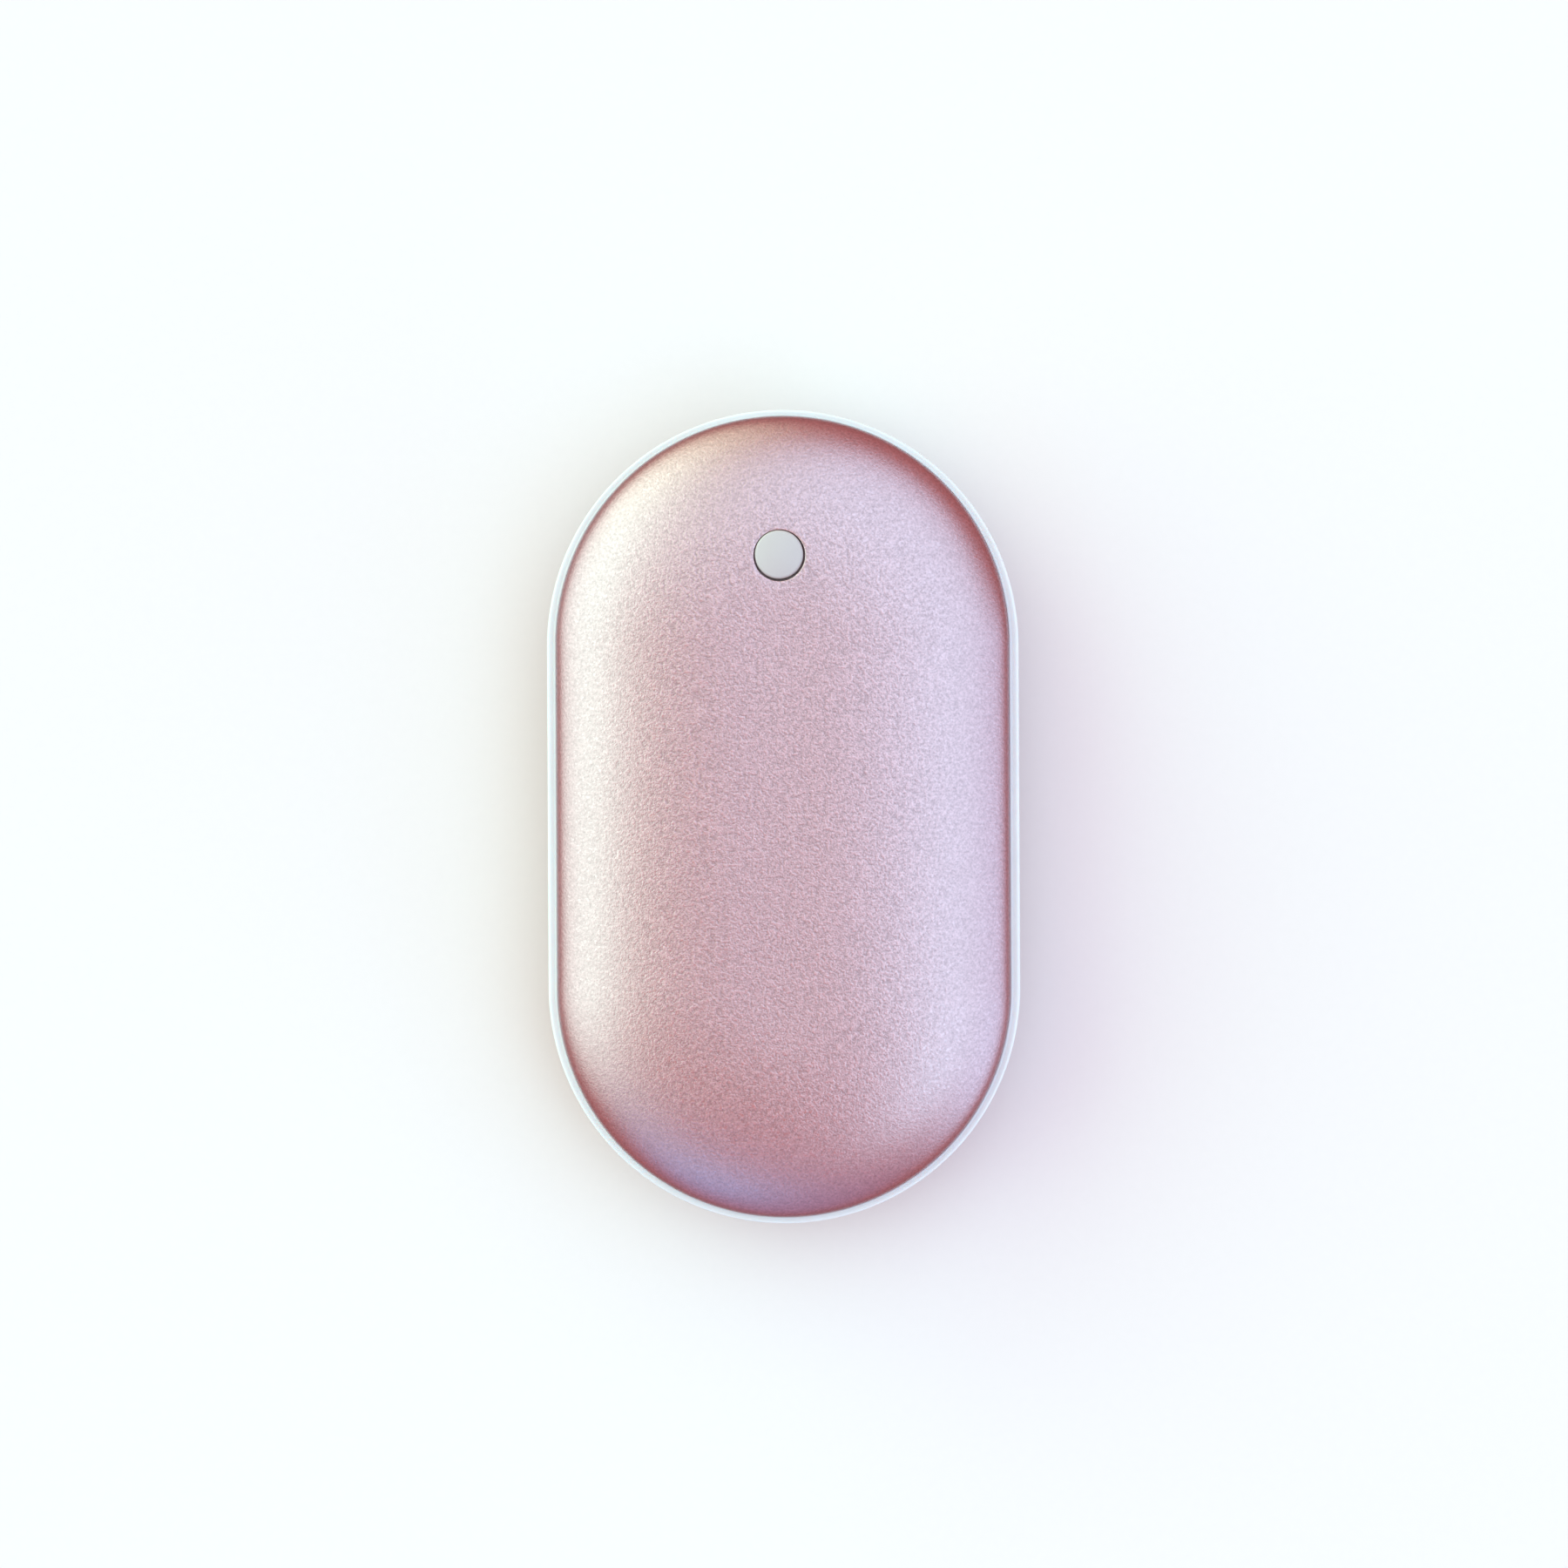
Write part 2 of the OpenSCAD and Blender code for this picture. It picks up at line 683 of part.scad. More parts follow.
module circuit_board() color("#2e7d4f") difference() {
    translate([0, 0, board_z])
        linear_extrude(board_t)
            intersection() {
                translate([0, shell_run])
                    circle(board_r, $fn = round_fn);
                translate([-board_reach, board_y0])
                    square([2 * board_reach, board_y1 - board_y0]);
            }
    for (side = [-1, 1])
        translate([side * post_x, post_y, board_z - over])
            cylinder(r = screw_d / 2 + seat_gap, h = board_t + 2 * over, $fn = small_fn);
}

module board_screws() color("#8f9296")
    for (side = [-1, 1])
        translate([side * post_x, post_y, board_top])
            screw(board_t + board_z - plate_top);

module charge_chip() color("#232426") translate(board_spot(chip_shares)) {
    foot = chip_foot;
    step = chip_size[0] / chip_feet;
    translate([0, 0, foot[2] / 2])
        centred_box(chip_size);
    for (side = [-1, 1])
        for (i = [0 : chip_feet - 1])
            translate([(i - (chip_feet - 1) / 2) * step, side * chip_size[1] / 2, 0])
                centred_box(foot);
}

module boost_inductor() color("#3a3a3c") translate(board_spot(coil_shares)) {
    centred_box([coil_size[0], coil_size[1], coil_size[2] / 4]);
    cylinder(d = coil_size[0] * 0.9, h = coil_size[2], $fn = round_fn);
}

module board_capacitors() color("#c7a878")
    for (shares = cap_shares)
        translate(board_spot(shares))
            centred_box(cap_size);

module heater_transistors() color("#2a2a2c")
    for (shares = transistor_shares)
        translate(board_spot(shares))
            centred_box(transistor_size);

// Turns a child that points along +Y to each lamp's direction, from the round end's middle
module each_lamp()
    for (i = [0 : lamp_count - 1])
        translate([0, frame_run, 0])
            rotate([0, 0, lamp_first + i * lamp_step])
                children();

module indicator_lamps() color("#f4f1d8")
    each_lamp()
        translate([0, lamp_r, board_z - lamp_part[2]])
            centred_box(lamp_part);

module light_pipe() color("#e8eef2") {
    sweep = lamp_first + (lamp_count - 1) * lamp_step;
    translate([0, frame_run, pipe_z])
        rotate([0, 0, 90 + lamp_first - lamp_step / 2])
            rotate_extrude(angle = sweep - lamp_first + lamp_step, $fn = round_fn)
                translate([pipe_r, 0])
                    square([pipe_w, pipe_h]);
    each_lamp()
        translate([0, lamp_r, pipe_z + pipe_h / 2])
            cylinder_y(lamp_d / 2, frame_r - port_gap - lamp_r);
}

module usb_a_shell() color("#b9bcc0") difference() {
    inner_w = usb_w - 2 * usb_metal;
    inner_h = usb_h - 2 * usb_metal;
    spring_l = usb_l * 0.4;
    socket_box(-usb_x, mid_z, usb_w, usb_h, usb_y - usb_l, usb_y);
    socket_box(-usb_x, mid_z, inner_w, inner_h, usb_y - usb_l - over, usb_y + over);
    for (side = [-1, 1])
        socket_box(-usb_x + side * usb_w / 4, mid_z - usb_h / 2, usb_w / 8, 2 * over,
            usb_y - usb_l * 0.7, usb_y - usb_l * 0.7 + spring_l);
}

module usb_a_tongue() color("#f3f3ef") {
    back_y = usb_y - usb_l;
    inner_w = usb_w - 2 * usb_metal - seat_gap;
    inner_h = usb_h - 2 * usb_metal - seat_gap;
    socket_box(-usb_x, mid_z, inner_w, inner_h, back_y, back_y + usb_block);
    socket_box(-usb_x, usb_tongue_z + usb_tongue_t / 2, usb_tongue_w, usb_tongue_t, back_y + usb_block / 2,
        usb_y - usb_tongue_in);
}

module usb_a_contacts() color("#d8b45a")
    for (i = [-1.5 : 1.5])
        socket_box(-usb_x + i * contact_step, usb_tongue_z - contact_t / 2, contact_w, contact_t,
            usb_y - usb_tongue_in - contact_l, usb_y - usb_tongue_in - contact_t);

// Outline of the charging socket: flat top, with its two lower corners cut off
module micro_outline(w, h) {
    t = micro_taper;
    polygon([
        [-w / 2, h / 2],
        [-w / 2, -h / 2 + t],
        [-w / 2 + t, -h / 2],
        [w / 2 - t, -h / 2],
        [w / 2, -h / 2 + t],
        [w / 2, h / 2]]);
}

module micro_solid(w, h, from_y, to_y)
    translate([micro_x, to_y, micro_z])
        rotate([90, 0, 0])
            linear_extrude(to_y - from_y)
                micro_outline(w, h);

module micro_usb_shell() color("#b9bcc0") difference() {
    micro_solid(micro_w, micro_h, micro_y - micro_l, micro_y);
    micro_solid(micro_w - 2 * micro_metal, micro_h - 2 * micro_metal, micro_y - micro_l - over,
        micro_y + over);
}

module micro_usb_tongue() color("#2b2b2d") {
    back_y = micro_y - micro_l;
    micro_solid(micro_w - 2 * micro_metal - seat_gap, micro_h - 2 * micro_metal - seat_gap, back_y,
        back_y + micro_block);
    socket_box(micro_x, micro_z, micro_tongue_w, micro_tongue_t, back_y + micro_block / 2,
        micro_y - micro_tongue_in);
}

module micro_usb_contacts() color("#d8b45a")
    for (i = [-2 : 2])
        socket_box(micro_x + i * pin_step, micro_z - micro_tongue_t / 2 - pin_t / 2, pin_w, pin_t,
            micro_y - micro_l + micro_block, micro_y - micro_tongue_in - pin_t);

module positive_lead() color("#c8322e") wire(positive_route, power_wire_d);
module negative_lead() color("#262626") wire(negative_route, power_wire_d);

module front_heater_leads() color("#e8e6e0")
    for (i = [0, 1])
        wire(moved(front_route, [i * wire_aside, 0, 0]), heater_wire_d);

module back_heater_leads() color("#e8e6e0")
    for (i = [0, 1])
        wire(moved(back_route, [i * wire_aside, 0, 0]), heater_wire_d);

module cutoff_leads() color("#e2c33a") {
    wire(cutoff_route, cutoff_wire_d);
    wire([for (q = cutoff_route) [-q[0], q[1], q[2]]], cutoff_wire_d);
}

front_shell();
back_shell();
middle_frame();
front_bond_ring();
back_bond_ring();
power_button();
switch_body();
switch_cover();
switch_snap_disc();
switch_plunger();
inner_chassis();
chassis_screws();
left_cell();
right_cell();
cell_positive_caps();
cell_insulator_rings();
positive_strip();
negative_strip();
insulator_card();
front_heater_film();
back_heater_film();
front_foam_pads();
back_foam_pads();
thermal_cutoff();
circuit_board();
board_screws();
charge_chip();
boost_inductor();
board_capacitors();
heater_transistors();
indicator_lamps();
light_pipe();
usb_a_shell();
usb_a_tongue();
usb_a_contacts();
micro_usb_shell();
micro_usb_tongue();
micro_usb_contacts();
positive_lead();
negative_lead();
front_heater_leads();
back_heater_leads();
cutoff_leads();
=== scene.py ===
# %% [markdown]
# # A pocket hand warmer, dressed
#
# The real object is a pebble of metal and plastic: two domed shells in a white frame, with cells, heaters
# and a circuit board inside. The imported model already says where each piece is. It could be painted as it
# is, but its curves are facets and its edges are bare. So this lesson draws many pieces again from formulas,
# with the small rounded edges that catch the light, and gives every piece a node material. Shapes are
# written in millimetres and turned into metres when a mesh is made, because such numbers are easy to read.

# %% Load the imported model
import json

import bpy
import numpy as np
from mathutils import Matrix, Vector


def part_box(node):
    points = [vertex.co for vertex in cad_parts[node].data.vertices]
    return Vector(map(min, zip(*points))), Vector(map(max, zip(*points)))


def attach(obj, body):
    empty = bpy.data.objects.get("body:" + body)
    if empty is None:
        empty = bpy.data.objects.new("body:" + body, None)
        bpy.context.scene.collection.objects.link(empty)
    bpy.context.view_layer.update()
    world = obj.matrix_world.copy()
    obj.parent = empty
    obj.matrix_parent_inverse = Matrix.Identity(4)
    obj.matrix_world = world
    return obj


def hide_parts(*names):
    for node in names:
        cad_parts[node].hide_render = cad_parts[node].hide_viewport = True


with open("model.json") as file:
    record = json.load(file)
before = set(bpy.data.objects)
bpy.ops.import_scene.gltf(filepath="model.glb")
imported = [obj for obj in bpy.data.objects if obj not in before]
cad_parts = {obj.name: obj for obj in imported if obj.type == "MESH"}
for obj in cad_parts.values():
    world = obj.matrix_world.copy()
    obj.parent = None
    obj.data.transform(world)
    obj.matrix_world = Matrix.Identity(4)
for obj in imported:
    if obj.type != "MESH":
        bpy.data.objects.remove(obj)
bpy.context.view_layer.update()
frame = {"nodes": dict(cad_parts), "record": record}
MM = 0.001

# %% [markdown]
# ## The driving sizes
#
# Seen from the front, the warmer is a stadium: two half circles joined by straight sides. A stadium has a
# radius, and a run, which is half the length of its straight sides. The sizes could be typed in again, but
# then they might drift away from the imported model. They are read from the boxes of its nodes instead.

# %% Read the driving sizes


def mm_box(node):
    """A node's lowest and highest corner, in millimetres."""
    low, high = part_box(node)
    return np.array(low) / MM, np.array(high) / MM


band_low, band_high = mm_box("middle_frame")
shell_low, shell_high = mm_box("front_shell")
BAND_R, BAND_RUN = band_high[0], band_high[1] - band_high[0]
BAND_TOP, MID_Z = band_high[2], (band_low[2] + band_high[2]) / 2
SHELL_R, SHELL_RUN = shell_high[0], shell_high[1] - shell_high[0]
SKIRT_Z, RISE = shell_low[2], shell_high[2] - BAND_TOP
print(f"band r {BAND_R:.2f} run {BAND_RUN:.2f}, shell r {SHELL_R:.2f} run {SHELL_RUN:.2f}, rise {RISE:.2f}")

# %% [markdown]
# ## From a grid of points to a mesh
#
# A thin skin of metal or plastic could be pushed into shape by hand, or built from joined blocks. Here each
# one is a grid of points that formulas give: its rows go round, and its columns go along a profile. That
# way a size can change and the skin follows. Seen from outside, rows run anticlockwise and columns run
# upwards, and then every face points outwards. A column that shrinks to a point or a line is welded shut,
# so poles and seams are closed.

# %% Grids and welding


def weld(points, quads):
    """Join points that share a place, and drop the sides of quads that have shrunk to nothing."""
    places, back = np.unique(np.round(points, 6), axis=0, return_inverse=True)
    quads = back.reshape(-1)[quads]
    shrunk = quads == np.roll(quads, -1, axis=1)
    faces = quads[shrunk.sum(axis=1) == 0].tolist()
    for corner in range(4):
        rows = (shrunk.sum(axis=1) == 1) & shrunk[:, corner]
        faces += np.delete(quads[rows], corner, axis=1).tolist()
    return places, faces


def grid_quads(rows, columns, looped):
    """Corners of each quad of a grid whose rows close on themselves, as numbers into its flattened points."""
    i = np.arange(rows)[:, None]
    j = np.arange(columns if looped else columns - 1)[None, :]
    i1, j1 = (i + 1) % rows, (j + 1) % columns
    corners = (i * columns + j, i1 * columns + j, i1 * columns + j1, i * columns + j1)
    return np.stack(np.broadcast_arrays(*corners), axis=-1).reshape(-1, 4)


print("a ring of 6 by 4 points has", len(grid_quads(6, 4, True)), "faces")

# %% Measure and smooth a mesh
CREASE = 38  # degrees; an edge that turns by more stays sharp


def volume_of(mesh):
    """Signed volume in cubic millimetres: the sum of a . (b x c) / 6 over the triangles.

    It is positive when the faces point outwards.
    """
    mesh.calc_loop_triangles()
    spots = np.empty(len(mesh.vertices) * 3)
    mesh.vertices.foreach_get("co", spots)
    corners = np.empty(len(mesh.loop_triangles) * 3, dtype=np.int64)
    mesh.loop_triangles.foreach_get("vertices", corners)
    a, b, c = (spots.reshape(-1, 3)[corners.reshape(-1, 3)[:, k]] / MM for k in range(3))
    return float(np.einsum("ij,ij->i", a, np.cross(b, c)).sum() / 6)


def shade(mesh, crease):
    """Smooth every face, and keep the edges that turn by more than the crease angle sharp."""
    mesh.polygons.foreach_set("use_smooth", np.ones(len(mesh.polygons), dtype=bool))
    mesh.set_sharp_from_angle(angle=np.radians(crease))


print("edges that turn by more than", CREASE, "degrees stay sharp")

# %% Make a piece


def piece(name, grids, looped=False, body="body", slot=None, stands_for=(), crease=CREASE):
    """Make one object from closed grids of points; looped says that their columns close on themselves."""
    points, quads, start = [], [], 0
    for grid in grids:
        rows, columns = grid.shape[:2]
        points.append(grid.reshape(-1, 3))
        quads.append(grid_quads(rows, columns, looped) + start)
        start += rows * columns
    places, faces = weld(np.concatenate(points), np.concatenate(quads))
    mesh = bpy.data.meshes.new(name)
    mesh.from_pydata(places * MM, [], faces)
    mesh.validate()
    shade(mesh, crease)
    made = bpy.data.objects.new(name, mesh)
    bpy.context.scene.collection.objects.link(made)
    if slot:
        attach(made, body)
        mesh.materials.append(MATERIALS[slot])
    if stands_for:
        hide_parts(*stands_for)
    print(f"{name}: {len(places)} points, {len(faces)} faces, {volume_of(mesh):.2f} mm3")
    return made


print("a piece rides on the body, unless it is told to ride on another")

# %% [markdown]
# ## Ways to draw a skin
#
# The frame and the shells go round the same stadium, so a profile is swept round it. The button and the
# lamps' pins are turned parts, so theirs is spun on an axis, as in a lathe. Folded sheet and moulded blocks
# are stacks of flat outlines, called lofts. The sockets look out along +Y: their lofts are made standing up,
# where outlines are easiest to think of, and are then laid down.

# %% Round a stadium


def stadium_ring(side=44, end=116):
    """Which way each point of a stadium faces, and the share of the run at which it lies."""
    turn = np.linspace(0, np.pi, end, endpoint=False)
    along = np.linspace(-1, 1, side, endpoint=False)
    face_x = np.concatenate([np.ones(side), np.cos(turn), -np.ones(side), -np.cos(turn)])
    face_y = np.concatenate([np.zeros(side), np.sin(turn), np.zeros(side), -np.sin(turn)])
    share = np.concatenate([along, np.ones(end), -along, -np.ones(end)])
    return face_x, face_y, share


FACE_X, FACE_Y, SHARE = stadium_ring()


def stadium(radius, run):
    """Points of one stadium: facing direction times radius, plus share times run along Y."""
    return np.stack([FACE_X * radius, FACE_Y * radius + SHARE * run], axis=-1)


def sweep(profile):
    """Carry rows of (radius, run, height) round a stadium."""
    radius, run, height = np.asarray(profile, dtype=float).T
    x = FACE_X[:, None] * radius
    y = FACE_Y[:, None] * radius + SHARE[:, None] * run
    return np.stack(np.broadcast_arrays(x, y, height), axis=-1)


print("points round a stadium:", len(SHARE))

# %% Turned forms and rounded outlines


def lathe(profile, centre=(0, 0), count=96):
    """Turn rows of (radius, height) round a standing axis: x = radius cos(turn), y = radius sin(turn)."""
    radius, height = np.asarray(profile, dtype=float).T
    turn = np.linspace(0, 2 * np.pi, count, endpoint=False)[:, None]
    x, y = centre[0] + radius * np.cos(turn), centre[1] + radius * np.sin(turn)
    return np.stack(np.broadcast_arrays(x, y, height), axis=-1)


def rounded(width, depth, corner, steps=5):
    """Outline of a rectangle whose corners are quarter circles, each round its own middle."""
    turn = np.linspace(0, np.pi / 2, steps + 1)
    x, y = max(width / 2 - corner, 0), max(depth / 2 - corner, 0)
    arcs = []
    for quarter, (a, b) in enumerate([(x, y), (-x, y), (-x, -y), (x, -y)]):
        angle = turn + quarter * np.pi / 2
        arcs.append(np.stack([a + corner * np.cos(angle), b + corner * np.sin(angle)], axis=-1))
    return np.concatenate(arcs)


print("points round a rounded rectangle:", len(rounded(2, 1, 0.2)))

# %% Lofts and soft blocks


def unit(rows):
    """Each row of numbers divided by its length, so that only its direction is left."""
    return rows / np.linalg.norm(rows, axis=1, keepdims=True)


def capped(tube, first, last):
    """Close a tube: one more column at each end, shrunk to a point."""
    ends = [np.broadcast_to(np.asarray(point, dtype=float), (len(tube), 1, 3)) for point in (first, last)]
    return np.concatenate([ends[0], tube, ends[1]], axis=1)


def loft(outlines, heights):
    """Stack outlines of equal count at their heights."""
    flat = np.stack(outlines, axis=1)
    levels = np.broadcast_to(np.asarray(heights, dtype=float)[None, :, None], flat.shape[:2] + (1,))
    return np.concatenate([flat, levels], axis=-1)


def laid_down(grid, x, z):
    """Lay a standing form along Y: its height h comes to lie at y = -h, with its axis through x and z."""
    return np.stack([x + grid[..., 0], -grid[..., 2], z + grid[..., 1]], axis=-1)


def soft_block(low, high, bevel, steps=3):
    """Closed block with rounded edges; its outline shrinks along a quarter circle at both ends."""
    low, high = np.asarray(low, dtype=float), np.asarray(high, dtype=float)
    width, depth = high[:2] - low[:2]
    turn = np.linspace(0, np.pi / 2, steps + 1)
    inset, lift = bevel * (1 - np.sin(turn)), bevel * (1 - np.cos(turn))
    sides = [rounded(width - 2 * i, depth - 2 * i, bevel - i) for i in (*inset, *inset[::-1])]
    heights = np.concatenate([[low[2]], low[2] + lift, high[2] - lift[::-1], [high[2]]])
    point = np.zeros_like(sides[0])
    grid = loft([point, *sides, point], heights)
    grid[..., :2] += (low[:2] + high[:2]) / 2
    return grid


print("columns of a soft block:", soft_block((0, 0, 0), (2, 2, 2), 0.2).shape[1])

# %% [markdown]
# ## Materials
#
# Real finishes are never one flat colour. They could be painted pictures, but a picture has an end and a
# seam. Noise and other patterns made by nodes have neither, and they stay sharp close up. A small class
# keeps the recipes short: each call adds one node and gives back its output. Patterns are read from Object
# coordinates in metres, so a noise scale of 4000 makes grains a quarter of a millimetre wide. The base
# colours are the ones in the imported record.

# %% A short way to write node materials


def plug(tree, value, socket):
    """Link another node's output to a socket, or set a constant on the socket itself."""
    if isinstance(value, bpy.types.NodeSocket):
        tree.links.new(value, socket)
    else:
        socket.default_value = value


def add_node(tree, kind, out=0, settings=None, **inputs):
    """Add a node and give back one output. Inputs go by their label, or by number as i0, i1 and so on."""
    made = tree.nodes.new("ShaderNode" + kind)
    for key, value in (settings or {}).items():
        setattr(made, key, value)
    for key, value in inputs.items():
        plug(tree, value, made.inputs[int(key[1:]) if key[1:].isdigit() else key.replace("_", " ")])
    return made.outputs[out]


class Shader:
    """A node material while it is being written down."""

    def __init__(self, name, base):
        self.material = bpy.data.materials.new(name)
        self.material.use_nodes = True
        self.tree = self.material.node_tree
        self.surface = self.tree.nodes["Principled BSDF"]
        self.base = tuple(base[:3]) + (1.0,)
        self.at = self.tree.nodes.new("ShaderNodeTexCoord").outputs["Object"]

    def add(self, kind, out=0, settings=None, **inputs):
        """Add one node to this material."""
        return add_node(self.tree, kind, out, settings, **inputs)

    def stretch(self, x, y, z):
        """Object coordinates with each axis stretched, for lines and fibres."""
        return self.add("VectorMath", settings={"operation": "MULTIPLY"}, i0=self.at, i1=(x, y, z))

    def noise(self, scale, detail=2.0, at=None):
        """Soft random clouds, so many to a metre."""
        return self.add("TexNoise", Vector=at or self.at, Scale=scale, Detail=detail)

    def cells(self, scale):
        """One random number for each cell."""
        colour = self.add("TexVoronoi", out=1, Vector=self.at, Scale=scale)
        return self.add("SeparateColor", Color=colour)

    def wave(self, scale, axis="X", at=None, warp=0.0):
        """Straight bands across an axis, bent by warp."""
        settings = {"wave_type": "BANDS", "bands_direction": axis, "wave_profile": "SIN"}
        return self.add("TexWave", out=1, settings=settings,
                        Vector=at or self.at, Scale=scale, Distortion=warp)

    def math(self, operation, a, b=0.5):
        """One step of arithmetic."""
        return self.add("Math", settings={"operation": operation}, i0=a, i1=b)

    def spread(self, value, low, high, start=0.0, end=1.0):
        """Take a value that goes from start to end, and make it go from low to high."""
        return self.add("MapRange", Value=value, From_Min=start, From_Max=end, To_Min=low, To_Max=high)

    def blend(self, share, a, b):
        """Colour a where the share is 0, and b where it is 1."""
        return self.add("Mix", out=2, settings={"data_type": "RGBA"}, i0=share, i6=a, i7=b)

    def tone(self, factor, warm=0.0):
        """The base colour, brighter or darker by a factor."""
        r, g, b, _ = self.base
        return (r * factor * (1 + warm), g * factor, b * factor * (1 - warm), 1.0)

    def bump(self, height, distance, strength=1.0):
        """Dents as deep as distance, in metres."""
        return self.add("Bump", Height=height, Distance=distance, Strength=strength)

    def finish(self, **inputs):
        """Plug what was made into the surface, and give back the material."""
        for key, value in inputs.items():
            plug(self.tree, value, self.surface.inputs[key.replace("_", " ")])
        return self.material


print("recipes can be written down")

# %% [markdown]
# ### The anodised shell
#
# The shells are aluminium, drawn in a press, blasted with fine beads and dyed while they were anodised.
# Beads leave dents about a quarter of a millimetre wide, and each dent catches the light at its own angle.
# Real dents in the mesh would take millions of faces, so two noises dent the surface and paint the dents'
# light and shade into its colour, as lighter and darker tones. Random cells paint a few dents brighter, as
# glints, and make them glossier. The painted grain is faint near the steep edge and strongest on the crown.
# A painted shade darkens the shell in a thin line at its edge and fades inwards over a few millimetres.
# Both follow the distance from the edge, which each shell stores in its own points. The record gives the
# colour that one sees; the metal mirrors a room darker than white, and a small cast makes up for that.

# %% Rose-gold anodised aluminium
METAL_CAST = (1.125, 1.07, 1.07)
DENTS, CLUMPS, SPARKS, CLOUDS = 4800, 2700, 4600, 70  # in a metre
FAINT, STRONG = (0.75, 5.0), (1.3, 14.0)  # how strong the grain is, and at how many mm from the edge
# Painted shade: the shell is darkened in a thin line along its edge and in a broader band that fades inwards.
EDGE_SHADE_LINE, LINE_FADE = (0.18, 0.28, 0.28), 1.8  # share taken from each colour at the edge, and its fading
EDGE_SHADE_BAND, BAND_FADE = (0.17, 0.28, 0.25), 0.065
WHITE = (1.0, 1.0, 1.0, 1.0)


def rose_metal(name, base):
    """Blasted and dyed metal. With d the distance from the edge, the painted edge shade fades as exp(-1.8 d)
    and as exp(-0.065 d d), and the painted grain grows in a straight line between two distances."""
    s = Shader(name, [c * k for c, k in zip(base, METAL_CAST)])
    grain = s.noise(DENTS, detail=1.0)
    coarse = s.noise(CLUMPS, detail=0.5)
    # Random cells: painted glints in the colour, and glossier dents.
    painted_glint_and_gloss = s.spread(s.cells(SPARKS), 0.0, 1.0, 0.8, 1.0)
    cloud = s.noise(CLOUDS, detail=2.0)
    inset = s.add("Attribute", out=2, settings={"attribute_name": "edge"})
    # Painted dent light and shade: the grain lightens and darkens the base colour, most on the crown.
    deep = s.spread(inset, FAINT[0], STRONG[0], FAINT[1], STRONG[1])
    level = s.math("ADD", s.spread(grain, -0.5, 0.5, 0.25, 0.75), s.spread(coarse, -0.4, 0.4, 0.25, 0.75))
    level = s.math("MULTIPLY", level, deep)
    tint = s.blend(s.spread(level, 0.0, 1.0, -0.7, 0.7), s.tone(0.73), s.tone(1.22))
    tint = s.blend(s.spread(cloud, 0.0, 0.12), tint, s.tone(0.95, warm=0.03))
    # Painted glints: a few dents are brightened towards a lighter tone of the base.
    tint = s.blend(s.math("MULTIPLY", painted_glint_and_gloss, s.math("MULTIPLY", deep, 0.35)), tint, s.tone(1.3))
    # Painted shade along the edge: the colour is multiplied down in a thin line and a broader band near the
    # rim.
    line = s.math("EXPONENT", s.math("MULTIPLY", inset, -LINE_FADE))
    band = s.math("EXPONENT", s.math("MULTIPLY", s.math("MULTIPLY", inset, inset), -BAND_FADE))
    times = {"data_type": "RGBA", "blend_type": "MULTIPLY"}
    for share, painted_shade in ((line, EDGE_SHADE_LINE), (band, EDGE_SHADE_BAND)):
        less = s.blend(share, WHITE, tuple(1 - d for d in painted_shade) + (1.0,))
        tint = s.add("Mix", out=2, settings=times, i0=1.0, i6=tint, i7=less)
    rough = s.math("ADD", s.spread(grain, 0.34, 0.46), s.math("MULTIPLY", painted_glint_and_gloss, -0.1))
    return s.finish(Base_Color=tint, Metallic=1.0, Roughness=rough, Normal=s.bump(level, 0.00002, 0.7))


# How far from the edge the line of painted shade fades to half.
print(f"the line of dye is half gone {np.log(2) / LINE_FADE:.2f} mm from the edge")

# %% [markdown]
# ### Plastics, metals, rubbers and cards
#
# The frame, the button and the chassis are moulded, the screws and sockets are rolled or plated metal, the
# wires and foam are rubbery, and the insulators are paper. Each small piece could have a material of its
# own, but pieces that are made alike look alike. So four general recipes cover them, and only their numbers
# change: a broad tone, a fine grain in colour and roughness, and a bump at the size its process leaves.

# %% Moulded plastic and rolled metal
SOFT_REACH = (0.0012, 0.001, 0.0009)  # metres that red, green and blue light travel inside the plastic


def moulded(name, base, rough=0.42, grain=5200, depth=0.000004, cast=(1.0, 1.0, 1.0), glow=0.0):
    """Moulded plastic: a spark-eroded skin, and slow flow marks from the gate."""
    s = Shader(name, [c * k for c, k in zip(base, cast)])
    skin = s.noise(grain, detail=2.0)
    flow = s.noise(110, detail=3.0)
    tint = s.blend(s.spread(flow, 0.0, 1.0, 0.3, 0.7), s.tone(0.965), s.tone(1.02))
    tint = s.blend(s.spread(skin, 0.0, 0.12, 0.4, 0.8), tint, s.tone(0.9))
    rough = s.spread(skin, rough - 0.07, rough + 0.09, 0.3, 0.7)
    return s.finish(Base_Color=tint, Roughness=rough, Normal=s.bump(skin, depth, 0.6),
                    Subsurface_Weight=glow, Subsurface_Radius=SOFT_REACH, Subsurface_Scale=0.6)


def rolled(name, base, rough=0.3, along=(400, 9000, 9000), stain=0.12):
    """Rolled or plated metal: fine lines one way, and faint stains."""
    s = Shader(name, base)
    lines = s.noise(1.0, detail=3.0, at=s.stretch(*along))
    stains = s.noise(420, detail=4.0)
    tint = s.blend(s.spread(stains, 0.0, stain * 4, 0.45, 0.8), s.base, s.tone(0.62, warm=0.08))
    tint = s.blend(s.spread(lines, 0.0, 0.2, 0.35, 0.75), tint, s.tone(1.18))
    dull = s.spread(lines, rough - 0.08, rough + 0.1, 0.3, 0.7)
    rough = s.math("ADD", dull, s.spread(stains, -0.03, 0.08, 0.3, 0.7))
    return s.finish(Base_Color=tint, Metallic=1.0, Roughness=rough, Normal=s.bump(lines, 0.000003, 0.6))


print("light reaches", SOFT_REACH[0] / MM, "mm into white plastic")

# %% Rubber and card
DUST = (0.55, 0.54, 0.52, 1.0)


